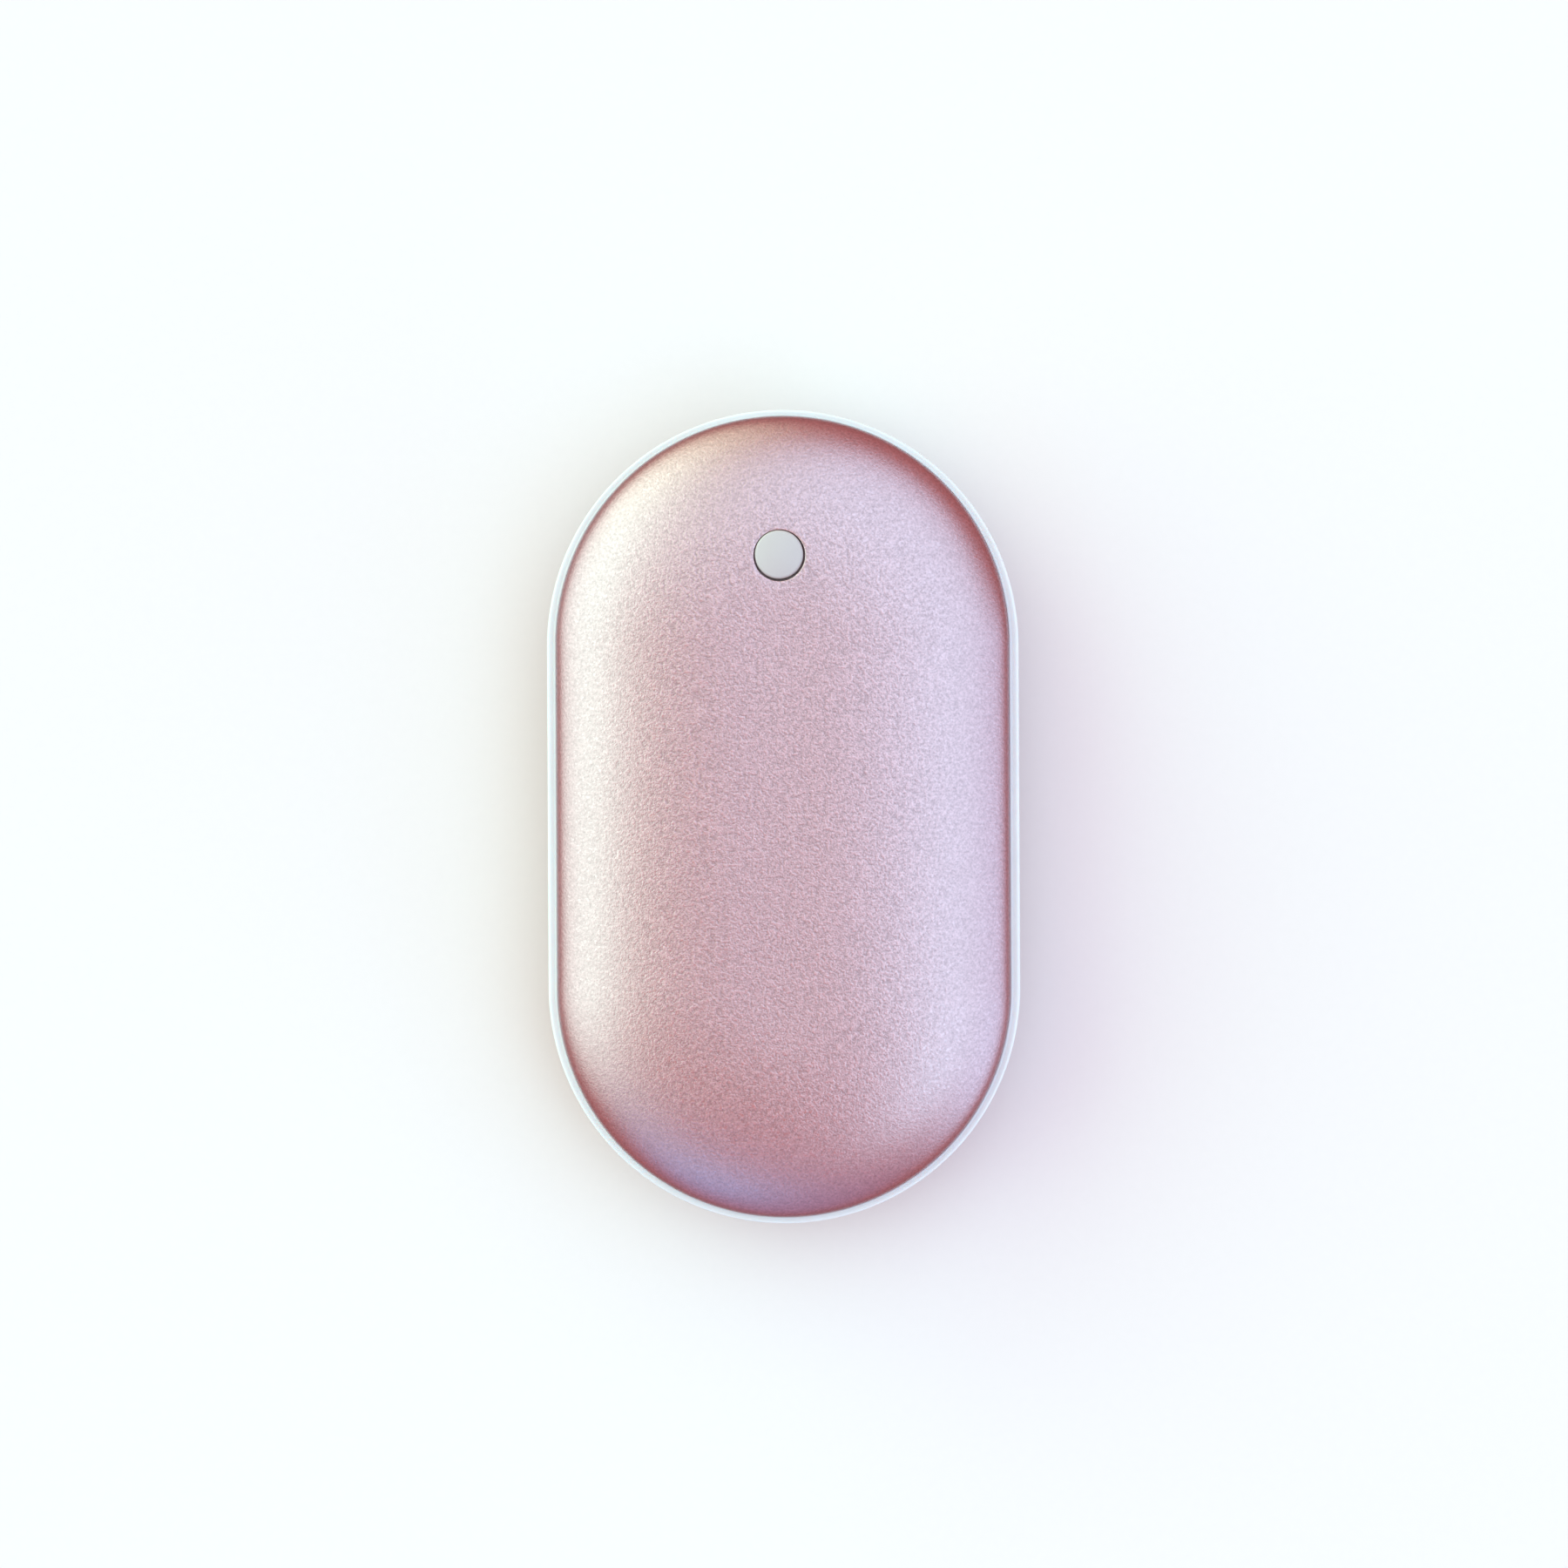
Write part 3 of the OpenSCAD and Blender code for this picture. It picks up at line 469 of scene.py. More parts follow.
def rubbery(name, base, rough=0.62, grain=2600, depth=0.00001):
    """Silicone, foam or tape: a soft skin with small pores and a little dust."""
    s = Shader(name, base)
    pores = s.add("TexVoronoi", Vector=s.at, Scale=grain)
    dust = s.noise(900, detail=4.0)
    # Painted shade in the pores: the colour darkens where the pores sink into the skin.
    tint = s.blend(s.spread(pores, 0.55, 0.0, 0.0, 0.35), s.base, s.tone(0.55))
    tint = s.blend(s.spread(dust, 0.0, 0.22, 0.55, 0.8), tint, DUST)
    return s.finish(Base_Color=tint, Roughness=s.spread(dust, rough - 0.08, rough + 0.1, 0.3, 0.7),
                    Normal=s.bump(pores, depth, 0.7), Sheen_Weight=0.15)


def card(name, base):
    """Insulating paper: fibres that run both ways."""
    s = Shader(name, base)
    across = s.noise(1.0, detail=4.0, at=s.stretch(600, 5200, 5200))
    fibres = s.math("ADD", across, s.noise(1.0, detail=4.0, at=s.stretch(5200, 700, 700)))
    tint = s.blend(s.spread(fibres, 0.0, 1.0, 0.7, 1.3), s.tone(0.84, warm=0.04), s.tone(1.08))
    rough = s.spread(fibres, 0.7, 0.88, 0.7, 1.3)
    return s.finish(Base_Color=tint, Roughness=rough, Normal=s.bump(fibres, 0.00001, 0.5))


print("dust is a grey of", DUST[:3])

# %% [markdown]
# ### Finishes of single pieces
#
# The board has copper tracks under a green mask, the heater film a folded track, the cells a shrunk sleeve,
# the choke its winding, and the light bar is clear acrylic with a frosted skin. Each track or turn of wire
# could be modelled, but they are thinner than a hair and hidden inside. Bands and cells in the material
# show them when the warmer is opened, and weigh nothing.

# %% Board, heater film and cell sleeve
COPPER, ETCHED = (0.62, 0.45, 0.2, 1.0), (0.36, 0.16, 0.06, 1.0)
EIGHTH_TURN = 0.785398


def board_mask(name, base):
    """Green solder mask: tracks stand a little proud under it, and pads and vias show bare copper."""
    s = Shader(name, base)
    turned = s.add("VectorRotate", Vector=s.at, Angle=EIGHTH_TURN)
    tracks = s.math("MAXIMUM", s.wave(520, "X", warp=3.0), s.wave(430, "Y", at=turned, warp=2.2))
    track = s.spread(tracks, 0.0, 1.0, 0.62, 0.7)
    via = s.math("LESS_THAN", s.add("TexVoronoi", Vector=s.at, Scale=620), 0.13)
    haze = s.noise(3000, detail=2.0)
    tint = s.blend(track, s.tone(0.75), s.tone(1.5))
    tint = s.blend(s.spread(haze, 0.0, 0.15), tint, s.tone(2.0))
    tint = s.blend(via, tint, COPPER)
    return s.finish(Base_Color=tint, Metallic=via, Roughness=s.spread(haze, 0.28, 0.44),
                    Normal=s.bump(track, 0.00003, 0.6), Coat_Weight=0.4, Coat_Roughness=0.12)


def etched_film(name, base):
    """Amber film with a folded copper track that shows through it."""
    s = Shader(name, base)
    track = s.spread(s.wave(95, "X"), 0.0, 1.0, 0.5, 0.6)
    wrinkle = s.noise(160, detail=3.0)
    tint = s.blend(track, s.tone(1.05), ETCHED)
    tint = s.blend(s.spread(wrinkle, 0.0, 0.2, 0.4, 0.8), tint, s.tone(1.5))
    height = s.math("ADD", s.math("MULTIPLY", track, 0.4), wrinkle)
    return s.finish(Base_Color=tint, Roughness=s.spread(wrinkle, 0.22, 0.4),
                    Normal=s.bump(height, 0.00006, 0.5), Coat_Weight=0.5, Coat_Roughness=0.15)


def shrunk_sleeve(name, base):
    """Shrink sleeve on a can: glossy, with fine ripples across and a seam of fold lines."""
    s = Shader(name, base)
    ripple = s.noise(1.0, detail=3.0, at=s.stretch(300, 1400, 300))
    fold = s.noise(1.0, detail=2.0, at=s.stretch(1500, 60, 1500))
    tint = s.blend(s.spread(ripple, 0.0, 1.0, 0.3, 0.7), s.tone(0.86), s.tone(1.12))
    height = s.math("ADD", ripple, s.math("MULTIPLY", fold, 0.6))
    return s.finish(Base_Color=tint, Roughness=s.spread(ripple, 0.25, 0.4),
                    Normal=s.bump(height, 0.00004, 0.35), Coat_Weight=0.6, Coat_Roughness=0.1)


print("bare copper:", COPPER[:3])

# %% Choke and light bar
# Painted light and shade of the winding: each turn is lighter on its crest and darker in the groove beside
# the next.
PAINTED_GROOVE_SHADE, PAINTED_CREST_LIGHT = (0.25, 0.07, 0.03, 1.0), (0.72, 0.3, 0.13, 1.0)
WAIST_Z, WAIST_HALF = 0.01715, 0.0007  # metres: the winding's middle, and half its height


def wound_choke(name, base):
    """Ferrite drum: grainy black, with varnished copper turns round its waist."""
    s = Shader(name, base)
    turns = s.wave(1900, "Z")
    height = s.add("SeparateXYZ", out=2, Vector=s.at)
    waist = s.add("Math", settings={"operation": "COMPARE"}, i0=height, i1=WAIST_Z, i2=WAIST_HALF)
    grit = s.noise(6000, detail=2.0)
    tint = s.blend(s.spread(grit, 0.0, 1.0, 0.3, 0.7), s.tone(0.7), s.tone(1.8))
    # The turns get painted light on their crests and painted shade in the grooves between them.
    tint = s.blend(waist, tint, s.blend(turns, PAINTED_GROOVE_SHADE, PAINTED_CREST_LIGHT))
    relief = s.math("ADD", s.math("MULTIPLY", turns, waist), s.math("MULTIPLY", grit, 0.2))
    return s.finish(Base_Color=tint, Metallic=s.math("MULTIPLY", waist, 0.8),
                    Roughness=s.spread(grit, 0.34, 0.6), Normal=s.bump(relief, 0.00004, 0.7))


def clear_pipe(name, base):
    """Clear acrylic with a frosted skin, so the lamps' light spreads in it."""
    s = Shader(name, base)
    frost = s.noise(4200, detail=3.0)
    flow = s.noise(260, detail=2.0)
    tint = s.blend(s.spread(flow, 0.0, 1.0, 0.3, 0.7), s.tone(0.96), s.tone(1.04))
    return s.finish(Base_Color=tint, Roughness=s.spread(frost, 0.22, 0.5, 0.3, 0.7),
                    Normal=s.bump(frost, 0.000006, 0.5), IOR=1.49, Transmission_Weight=0.55)


print("the choke's winding is", round(2 * WAIST_HALF / MM, 2), "mm high")

# %% [markdown]
# ### One recipe for each slot
#
# The record lists the finishes as slots, such as frame_white for the moulded frame. Each slot could have its
# own lines of code; a table of recipes and their numbers is shorter and is easy to compare. The frame and
# the button are both white plastic, but in the picture the button is darker, so each has a cast of its own.
# Light travels a little way inside white plastic and clear resin, which is their glow.

# %% The table of recipes
FRAME_CAST, BUTTON_CAST = (1.11, 1.05, 1.03), (0.85, 0.715, 0.67)
RECIPES = {
    "rose_shell": (rose_metal, {}),
    "frame_white": (moulded, dict(rough=0.38, grain=4200, depth=0.000003, cast=FRAME_CAST, glow=0.5)),
    "button_white": (moulded, dict(rough=0.36, grain=4600, depth=0.0000025, cast=BUTTON_CAST, glow=0.05)),
    "bond": (rubbery, dict(rough=0.7)),
    "chassis_white": (moulded, dict(rough=0.5, grain=3000, depth=0.000008)),
    "screw_steel": (rolled, dict(rough=0.34, along=(5200, 5200, 900))),
    "cell_sleeve": (shrunk_sleeve, {}),
    "nickel": (rolled, dict(rough=0.28, stain=0.1)),
    "paper_card": (card, {}),
    "heater_film": (etched_film, {}),
    "foam": (rubbery, dict(rough=0.9, grain=3200, depth=0.00005)),
    "cutoff_body": (moulded, dict(rough=0.3, grain=2400, depth=0.00001)),
    "board_green": (board_mask, {}),
    "chip_black": (moulded, dict(rough=0.5, grain=7000, depth=0.00001)),
    "coil_grey": (wound_choke, {}),
    "cap_tan": (moulded, dict(rough=0.45, grain=9000, depth=0.000008)),
    "lamp_resin": (moulded, dict(rough=0.2, grain=5000, depth=0.000004, glow=0.3)),
    "pipe_clear": (clear_pipe, {}),
    "socket_steel": (rolled, dict(rough=0.26, along=(9000, 420, 9000))),
    "tongue_white": (moulded, dict(rough=0.48, grain=4000, depth=0.000006)),
    "tongue_black": (moulded, dict(rough=0.5, grain=4000, depth=0.000006)),
    "contact_gold": (rolled, dict(rough=0.24, along=(9000, 500, 9000), stain=0.05)),
    "switch_black": (moulded, dict(rough=0.52, grain=5200, depth=0.000008)),
    "switch_steel": (rolled, dict(rough=0.3)),
    "wire_red": (rubbery, dict(rough=0.5)),
    "wire_black": (rubbery, dict(rough=0.5)),
    "wire_white": (rubbery, dict(rough=0.5)),
    "wire_yellow": (rubbery, dict(rough=0.5)),
}
MATERIALS = {}
for entry in frame["record"]["materials"]:
    recipe, options = RECIPES[entry["slot"]]
    MATERIALS[entry["slot"]] = recipe(entry["slot"], entry["base_color"], **options)
print("materials:", len(MATERIALS))

# %% [markdown]
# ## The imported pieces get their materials
#
# Screws, cells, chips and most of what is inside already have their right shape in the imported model. They
# could be drawn again too, but nobody would see a difference. They stay where they are, and only their
# material slots are filled, as the record says.

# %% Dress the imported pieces
for part in frame["record"]["subparts"]:
    holder = frame["nodes"][part["node"]]
    for place in holder.material_slots:
        place.material = MATERIALS[part["material_slot"]]

# %% [markdown]
# ## The two shells
#
# Each shell is pressed from one sheet: flat for a few millimetres along its middle line, then falling ever
# faster to its edge. A scaled ball would be too pointed at the ends and a bevelled plate too flat, so the
# height is a formula: rise x sqrt(1 - share^2.3), with the share counted from the flat strip to the edge.
# The front shell's grid runs from the rim to the button's hole, so that the hole gets a clean round edge.
# The back shell is the same form without a hole, mirrored below the band.

# %% The dome's height
WALL, CROWN_FLAT, POWER = 1.0, 4.0, 2.3


def spine_distance(x, y):
    """Distance from the straight line between the two ends of the shells' stadium."""
    return np.hypot(x, np.maximum(np.abs(y) - SHELL_RUN, 0))


def dome_height(x, y, radius, rise):
    """Height of a dome over the band: rise times the root of one minus the share to the power 2.3."""
    share = np.clip((spine_distance(x, y) - CROWN_FLAT) / (radius - CROWN_FLAT), 0, 1)
    return rise * np.sqrt(np.clip(1 - share**POWER, 0, None))


def dome_columns(rim, start, radius, rise, shares):
    """A dome's points between a start curve and the rim, at the given shares of the way."""
    flat = start[:, None, :] + (rim - start)[:, None, :] * shares[None, :, None]
    return np.dstack([flat, BAND_TOP + dome_height(flat[..., 0], flat[..., 1], radius, rise)])


print(f"the dome is {dome_height(SHELL_R - 1, 0.0, SHELL_R, RISE):.2f} mm high at 1 mm from its edge")

# %% Make both shells
HOLE, HOLE_R = np.array([0.0, 31.5]), 3.1
DOME_POINTS, HOLE_EDGE = 92, 0.14
# EDGE_SHADE_ENDS is a distance from the rim where the painted edge shade has faded away.
EDGE_SHADE_ENDS, SKIN = 6.0, 0.2


def shell_grid(centre, hole_r):
    """One shell as a closed skin: skirt, dome, rounded edge of the hole, underside and inner skirt.

    The points crowd towards the steep edge, because their share of the way goes as a sine.
    """
    outer, inner = stadium(SHELL_R, SHELL_RUN), stadium(SHELL_R - WALL, SHELL_RUN)
    way = unit(outer - centre)
    shares = np.sin(np.linspace(np.pi / 2, 0, DOME_POINTS))
    lip = hole_r + (HOLE_EDGE if hole_r else 0)
    top = dome_columns(outer, centre + way * lip, SHELL_R, RISE, shares)
    under = dome_columns(inner, centre + way * hole_r, SHELL_R - WALL, RISE - WALL, shares[::-3])
    feet = [np.dstack([flat[:, None, :], np.full((len(flat), 1), SKIRT_Z)]) for flat in (outer, inner)]
    bend = []
    if hole_r:
        turn = np.linspace(0, np.pi / 2, 6)[1:]
        ring = centre + way[:, None, :] * (hole_r + HOLE_EDGE * (1 - np.sin(turn)))[None, :, None]
        bend = [np.dstack([ring, top[:, -1:, 2] - HOLE_EDGE * (1 - np.cos(turn))[None, :]])]
    return np.concatenate([feet[0], top, *bend, under, feet[1]], axis=1)


def mark_edge(shell):
    """Store each point's distance from the rim in millimetres; the inner side gets a value past the painted
    edge shade.
    """
    spots = np.empty(len(shell.data.vertices) * 3)
    shell.data.vertices.foreach_get("co", spots)
    x, y, z = spots.reshape(-1, 3).T / MM
    outside = np.abs(z - MID_Z) > BAND_TOP - MID_Z + dome_height(x, y, SHELL_R, RISE) - SKIN
    inset = np.where(outside, SHELL_R - spine_distance(x, y), EDGE_SHADE_ENDS)
    layer = shell.data.attributes.new("edge", "FLOAT", "POINT")
    layer.data.foreach_set("value", inset.astype(np.float32))


front = shell_grid(HOLE, HOLE_R)
back = shell_grid(np.zeros(2), 0.0)[::-1] * (1, 1, -1) + (0, 0, 2 * MID_Z)
for node, skin in (("front_shell", front), ("back_shell", back)):
    mark_edge(piece(node + "_skin", [skin], looped=True, slot="rose_shell", stands_for=[node]))

# %% [markdown]
# ## The white frame
#
# A moulded ring holds both shells and shows as a thin white rim. A bevelled ring would do from afar, but
# close up the rim has a rounded shoulder, a flat that sinks a little, and a bead that stands close round
# the shell. So its profile is drawn point by point and swept. It is written in shares of the rim's width,
# because the rim is wider along the sides than at the ends. The lower half mirrors the upper one.

# %% Draw the rim's profile and sweep it
ring_low, _ = mm_box("front_bond_ring")
LIP_GAP, SEAT_GAP, LEDGE_W, LEDGE_Z = 0.015, 0.05, 1.6, ring_low[2]
POCKET_R, HOLLOW_R = SHELL_R + LIP_GAP, SHELL_R + SEAT_GAP - LEDGE_W
FACE_LEVELS = (0.4, 1.4, 2.4, 3.4, 4.2)
SHOULDER = [(0.3 * (1 - np.cos(t)), -0.34 + 0.36 * np.sin(t)) for t in np.linspace(0, np.pi / 2, 9)]
FLAT_AND_BEAD = [(0.36, 0.018), (0.52, 0.0), (0.66, -0.012), (0.74, -0.012), (0.78, 0.012), (0.83, 0.03),
                 (0.91, 0.034), (0.96, 0.022), (0.99, -0.01), (1.0, -0.05)]


def rim_row(share, lift):
    """One point of the rim: share 0 is the band's outer face and share 1 the pocket's wall."""
    radius = BAND_R + share * (POCKET_R - BAND_R)
    return [radius, BAND_RUN + share * (SHELL_RUN - BAND_RUN), BAND_TOP + lift]


face = [rim_row(0.0, MID_Z + level - BAND_TOP) for level in FACE_LEVELS]
rim = [rim_row(share, lift) for share, lift in SHOULDER + FLAT_AND_BEAD]
ledge = [[POCKET_R, SHELL_RUN, LEDGE_Z], [HOLLOW_R, SHELL_RUN, LEDGE_Z]]
upper = face + rim + ledge
lower = [[r, run, 2 * MID_Z - z] for r, run, z in reversed(upper)]
ring = sweep(upper + lower)
frame_skin = piece("frame_skin", [ring], looped=True, slot="frame_white", stands_for=["middle_frame"])

# %% [markdown]
# ### Openings in the frame
#
# Two sockets and four small lamps look out through the band's round end. Their openings could be left out
# of the grid by hand, but then the grid would have to bend round each. It is simpler to cut them with an
# exact boolean, worked out once and kept as a plain mesh. Each cutter follows the band's face, so its
# flared mouth leaves an even rounded edge there.

# %% Shape of a cutter
FLARE_DEEP, FLARE_WIDE = 0.16, 0.2
CLEAR_OF_BAND, CUT_TO = BAND_RUN + BAND_R + 3, SHELL_RUN + 12.0


def face_cutter(x, z, width, height, corner):
    """Closed cutter for a rectangular opening, flared where it meets the band's face.

    A ring lies on the face's own circle: its y is the run plus the root of radius^2 - x^2. The rings
    widen along a quarter circle on their way out.
    """
    flare = np.linspace(0, np.pi / 2, 5)
    depths = np.concatenate([[0.6], FLARE_DEEP * (1 - np.sin(flare))])
    grows = np.concatenate([[0.9], FLARE_WIDE * (1 - np.cos(flare[::-1]))])
    rings = []
    for grow, depth in zip(grows, depths):
        flat = rounded(width + 2 * grow, height + 2 * grow, corner + grow)
        out = BAND_RUN + np.sqrt((BAND_R + depth - FLARE_DEEP) ** 2 - (x + flat[:, 0]) ** 2)
        rings.append(np.column_stack([flat, -out]))
    flat = rounded(width, height, corner)
    rings.append(np.column_stack([flat, np.full(len(flat), -CUT_TO)]))
    return laid_down(capped(np.stack(rings, axis=1), (0, 0, -CLEAR_OF_BAND), (0, 0, -CUT_TO)), x, z)


def radial(grid, turn, z):
    """Lay a standing form along a lamp's direction, out from the middle of the band's round end."""
    out = np.array([-np.sin(turn), np.cos(turn)])
    side = np.array([np.cos(turn), np.sin(turn)])
    a, b, c = grid[..., 0], grid[..., 1], grid[..., 2]
    return np.stack([a * -side[0] + c * out[0], BAND_RUN + a * -side[1] + c * out[1], z + b], axis=-1)


print("an opening's edge is", FLARE_WIDE, "mm wide and", FLARE_DEEP, "mm deep")

# %% Cut the openings
OUTPUT_X, OUTPUT_Y, OUTPUT_L, OUTPUT_W, OUTPUT_H, OUTPUT_WALL = -5.2, 47.5, 14.0, 13.2, 5.7, 0.3
CHARGE_X, CHARGE_Y, CHARGE_L, CHARGE_W, CHARGE_H, CHARGE_Z = 8.4, 46.2, 5.2, 7.6, 2.9, 13.4
LAMP_TURNS, LAMP_Z, PIN_R = np.radians([32, 38, 44, 50]), 12.725, 0.55
PORT_GAP = 0.1


def bake(target):
    """Keep what the modifiers make of a piece as its own plain mesh."""
    result = bpy.data.meshes.new_from_object(target.evaluated_get(bpy.context.evaluated_depsgraph_get()))
    target.modifiers.clear()
    target.data = result


def cut(target, cutters):
    """Take cutters away from a piece, exactly; the large faces then lead the normals at the new edges."""
    for cutter in cutters:
        step = target.modifiers.new("cut", "BOOLEAN")
        step.operation, step.solver, step.object = "DIFFERENCE", "EXACT", cutter
    bake(target)
    for cutter in cutters:
        bpy.data.objects.remove(cutter)
    shade(target.data, CREASE)
    target.modifiers.new("even", "WEIGHTED_NORMAL").keep_sharp = True
    bake(target)
    print(f"{target.name} cut: {len(target.data.polygons)} faces, {volume_of(target.data):.2f} mm3")


output_hole = face_cutter(OUTPUT_X, MID_Z, OUTPUT_W + 2 * PORT_GAP, OUTPUT_H + 2 * PORT_GAP, corner=0.45)
charge_hole = face_cutter(CHARGE_X, CHARGE_Z, CHARGE_W + 2 * PORT_GAP, CHARGE_H + 2 * PORT_GAP, corner=0.4)
pin_hole = [(0, 22), (PIN_R + PORT_GAP, 22), (PIN_R + PORT_GAP, 28.86), (PIN_R + 0.16, 28.95),
            (PIN_R + 0.26, 29.02), (PIN_R + 0.5, 30), (0, 30)]
cutters = [piece("cutter_out", [output_hole]), piece("cutter_in", [charge_hole])]
for number, turn in enumerate(LAMP_TURNS):
    cutters.append(piece(f"cutter_lamp_{number}", [radial(lathe(pin_hole, count=32), turn, LAMP_Z)]))
cut(frame_skin, cutters)

# %% [markdown]
# ### Screw lugs
#
# Four lugs stand inside the frame and take the chassis screws. Each could be a box with a hole cut into it,
# but six flat sides and a boolean give a poor edge. Its skin is one closed grid instead: up the outside, in
# over the top, down the hole, and out again along the underside, with every edge softened on the way.

# %% Make the lugs
LUG_X, LUG_Y, LUG_W, LUG_ROOT = 24.25, 16.0, 4.0, 0.6
LUG_LOW, LUG_HIGH, LUG_CORNER, LUG_EDGE = 8.45, 11.4, 0.5, 0.2
LUG_HOLE, HOLE_CHAMFER = 0.75, 0.1


def lug(side_x, side_y):
    """One lug: its outline is a rounded rectangle, and the hole's points lie in the same directions."""
    width, root = LUG_W + LUG_ROOT, (side_x * LUG_ROOT / 2, 0)
    full = rounded(width, LUG_W, LUG_CORNER) + root
    small = rounded(width - 2 * LUG_EDGE, LUG_W - 2 * LUG_EDGE, LUG_CORNER - LUG_EDGE) + root
    wide, hole = unit(full) * (LUG_HOLE + HOLE_CHAMFER), unit(full) * LUG_HOLE
    rings = [small, full, full, small, wide, hole, hole, wide]
    heights = [LUG_LOW, LUG_LOW + LUG_EDGE, LUG_HIGH - LUG_EDGE, LUG_HIGH,
               LUG_HIGH, LUG_HIGH - HOLE_CHAMFER, LUG_LOW + HOLE_CHAMFER, LUG_LOW]
    return loft(rings, heights) + (side_x * LUG_X, side_y * LUG_Y, 0)


piece("frame_lugs", [lug(a, b) for a in (-1, 1) for b in (-1, 1)], looped=True, slot="frame_white")

# %% [markdown]
# ## The power button
#
# The button is a moulded cap that looks out of a round hole, on a flange that keeps it in and a stem that
# presses the switch. All of it is round, so it is one profile turned on a lathe: the edge of the cap is a
# soft quarter curve, and its face a very slight dome. A plain disc would show a hard ring of light instead.
# It sits a little up and to the left in its hole, as in the photograph.

# %% Turn the button
cap_low, cap_high = mm_box("power_button")
button_middle = (cap_low[:2] + cap_high[:2]) / 2
STEM_LOW, FACE_Z, FLANGE_Z = cap_low[2], cap_high[2], cap_high[2] - 1.86
CAP_R, FLANGE_R, STEM_R, SOFT = 2.92, 4.0, 1.1, 0.1
FACE_R, DOME, EDGE_W, EDGE_H = 2.5, 0.3, 0.42, 0.36
stem = [(0, STEM_LOW), (STEM_R - SOFT, STEM_LOW), (STEM_R, STEM_LOW + SOFT), (STEM_R, FLANGE_Z - 0.75)]
flange = [(STEM_R + 0.15, FLANGE_Z - 0.6), (FLANGE_R - SOFT, FLANGE_Z - 0.6), (FLANGE_R, FLANGE_Z - 0.5),
          (FLANGE_R, FLANGE_Z - SOFT), (FLANGE_R - SOFT, FLANGE_Z)]
cap_side = [(CAP_R + SOFT, FLANGE_Z), (CAP_R, FLANGE_Z + SOFT)]
quarter = np.linspace(0, np.pi / 2, 8)
cap_edge = [(CAP_R - EDGE_W * (1 - np.cos(t)), FACE_Z - DOME - EDGE_H + EDGE_H * np.sin(t)) for t in quarter]
cap_face = [(r, FACE_Z - DOME * (r / FACE_R) ** 2) for r in np.linspace(FACE_R - 0.08, 0, 16)]
turned = lathe(stem + flange + cap_side + cap_edge + cap_face, button_middle)
piece("button_cap", [turned], body="power_button", slot="button_white", stands_for=["power_button"])

# %% [markdown]
# ## The output socket
#
# Its shell is folded from sheet steel, with rounded corners and a flared mouth that guides the plug. Inside
# are a moulded tongue with four gilded contacts, and four springs that grip. The shell could be a block with
# a block cut out, but then its mouth would be sharp. Here it is a loft that goes along the outside and back
# along the inside, so the flare is only a few more rows. Contacts and springs are strips carried along bent
# paths, as their real ones are stamped and bent.

# %% Tube and tongue of the output socket
TUBE_CORNER = 0.62
TONGUE_Z = MID_Z + OUTPUT_WALL + 0.15
output_back = OUTPUT_Y - OUTPUT_L


def socket_tube(x, z, width, height, wall, corner, mouth_y, length):
    """Closed skin of a rectangular tube: outside from the mouth to the back, and inside out again.

    Each row is (0 outside or 1 inside, how much the outline shrinks there, depth behind the mouth).
    """
    rows = [(0.0, 0.06, 0.0), (0.0, 0.0, 0.06), (0.0, 0.0, length - 0.05), (0.0, 0.05, length),
            (1.0, -0.05, length), (1.0, 0.0, length - 0.05),
            (1.0, 0.0, 0.5), (1.0, -0.03, 0.3), (1.0, -0.1, 0.12), (1.0, -0.17, 0.0)]
    outlines, heights = [], []
    for inside, shrink, depth in rows:
        less = inside * wall + shrink
        outlines.append(rounded(width - 2 * less, height - 2 * less, corner - min(less, corner * 0.6)))
        heights.append(depth - mouth_y)
    return laid_down(loft(outlines, heights), x, z)


def socket_block(x, z, width, height, from_y, to_y, bevel):
    """A rounded block that lies along a socket's axis."""
    block = soft_block((-width / 2, -height / 2, -to_y), (width / 2, height / 2, -from_y), bevel)
    return laid_down(block, x, z)


tube = socket_tube(OUTPUT_X, MID_Z, OUTPUT_W, OUTPUT_H, OUTPUT_WALL, TUBE_CORNER, OUTPUT_Y, OUTPUT_L)
piece("output_socket_shell", [tube], looped=True, slot="socket_steel", stands_for=["usb_a_shell"])
plate = socket_block(OUTPUT_X, MID_Z, width=12.4, height=4.9,
                     from_y=output_back, to_y=output_back + 2.4, bevel=0.2)
blade = socket_block(OUTPUT_X, TONGUE_Z + 0.9, width=11.2, height=1.8,
                     from_y=output_back + 1.2, to_y=OUTPUT_Y - 1.0, bevel=0.28)
piece("output_socket_tongue", [plate, blade], slot="tongue_white", stands_for=["usb_a_tongue"])

# %% Contacts and springs of the output socket
REACH = np.linspace(0, 1, 14)


def bent_strip(path, width, thick):
    """A bent strip: its section is carried along a path of (y, z) points, square to the way ahead."""
    ahead = unit(np.gradient(path, axis=0))
    up = np.stack([-ahead[:, 1], ahead[:, 0]], axis=-1)
    section = rounded(width, thick, thick * 0.35, steps=2)
    rows = section[:, None, 1:2] * up[None] + path[None]
    strip = np.concatenate([np.broadcast_to(section[:, None, 0:1], rows.shape[:2] + (1,)), rows], axis=-1)
    return capped(strip, (0.0, *path[0]), (0.0, *path[-1]))[::-1]


def strip_row(middles, y, z, width, thick):
    """The same bent strip at several places along X."""
    strip = bent_strip(np.column_stack([y, z]), width, thick)
    return [strip + (x, 0, 0) for x in middles]


wave = TONGUE_Z - 0.1 - 0.1 * np.sin(np.pi * np.clip(REACH * 1.15 - 0.15, 0, 1))
middles = [OUTPUT_X + (number - 1.5) * 2.5 for number in range(4)]
contacts = strip_row(middles, OUTPUT_Y - 9.0 + REACH * 7.8, wave, width=1.0, thick=0.2)
piece("output_socket_contacts", contacts, slot="contact_gold", stands_for=["usb_a_contacts"])

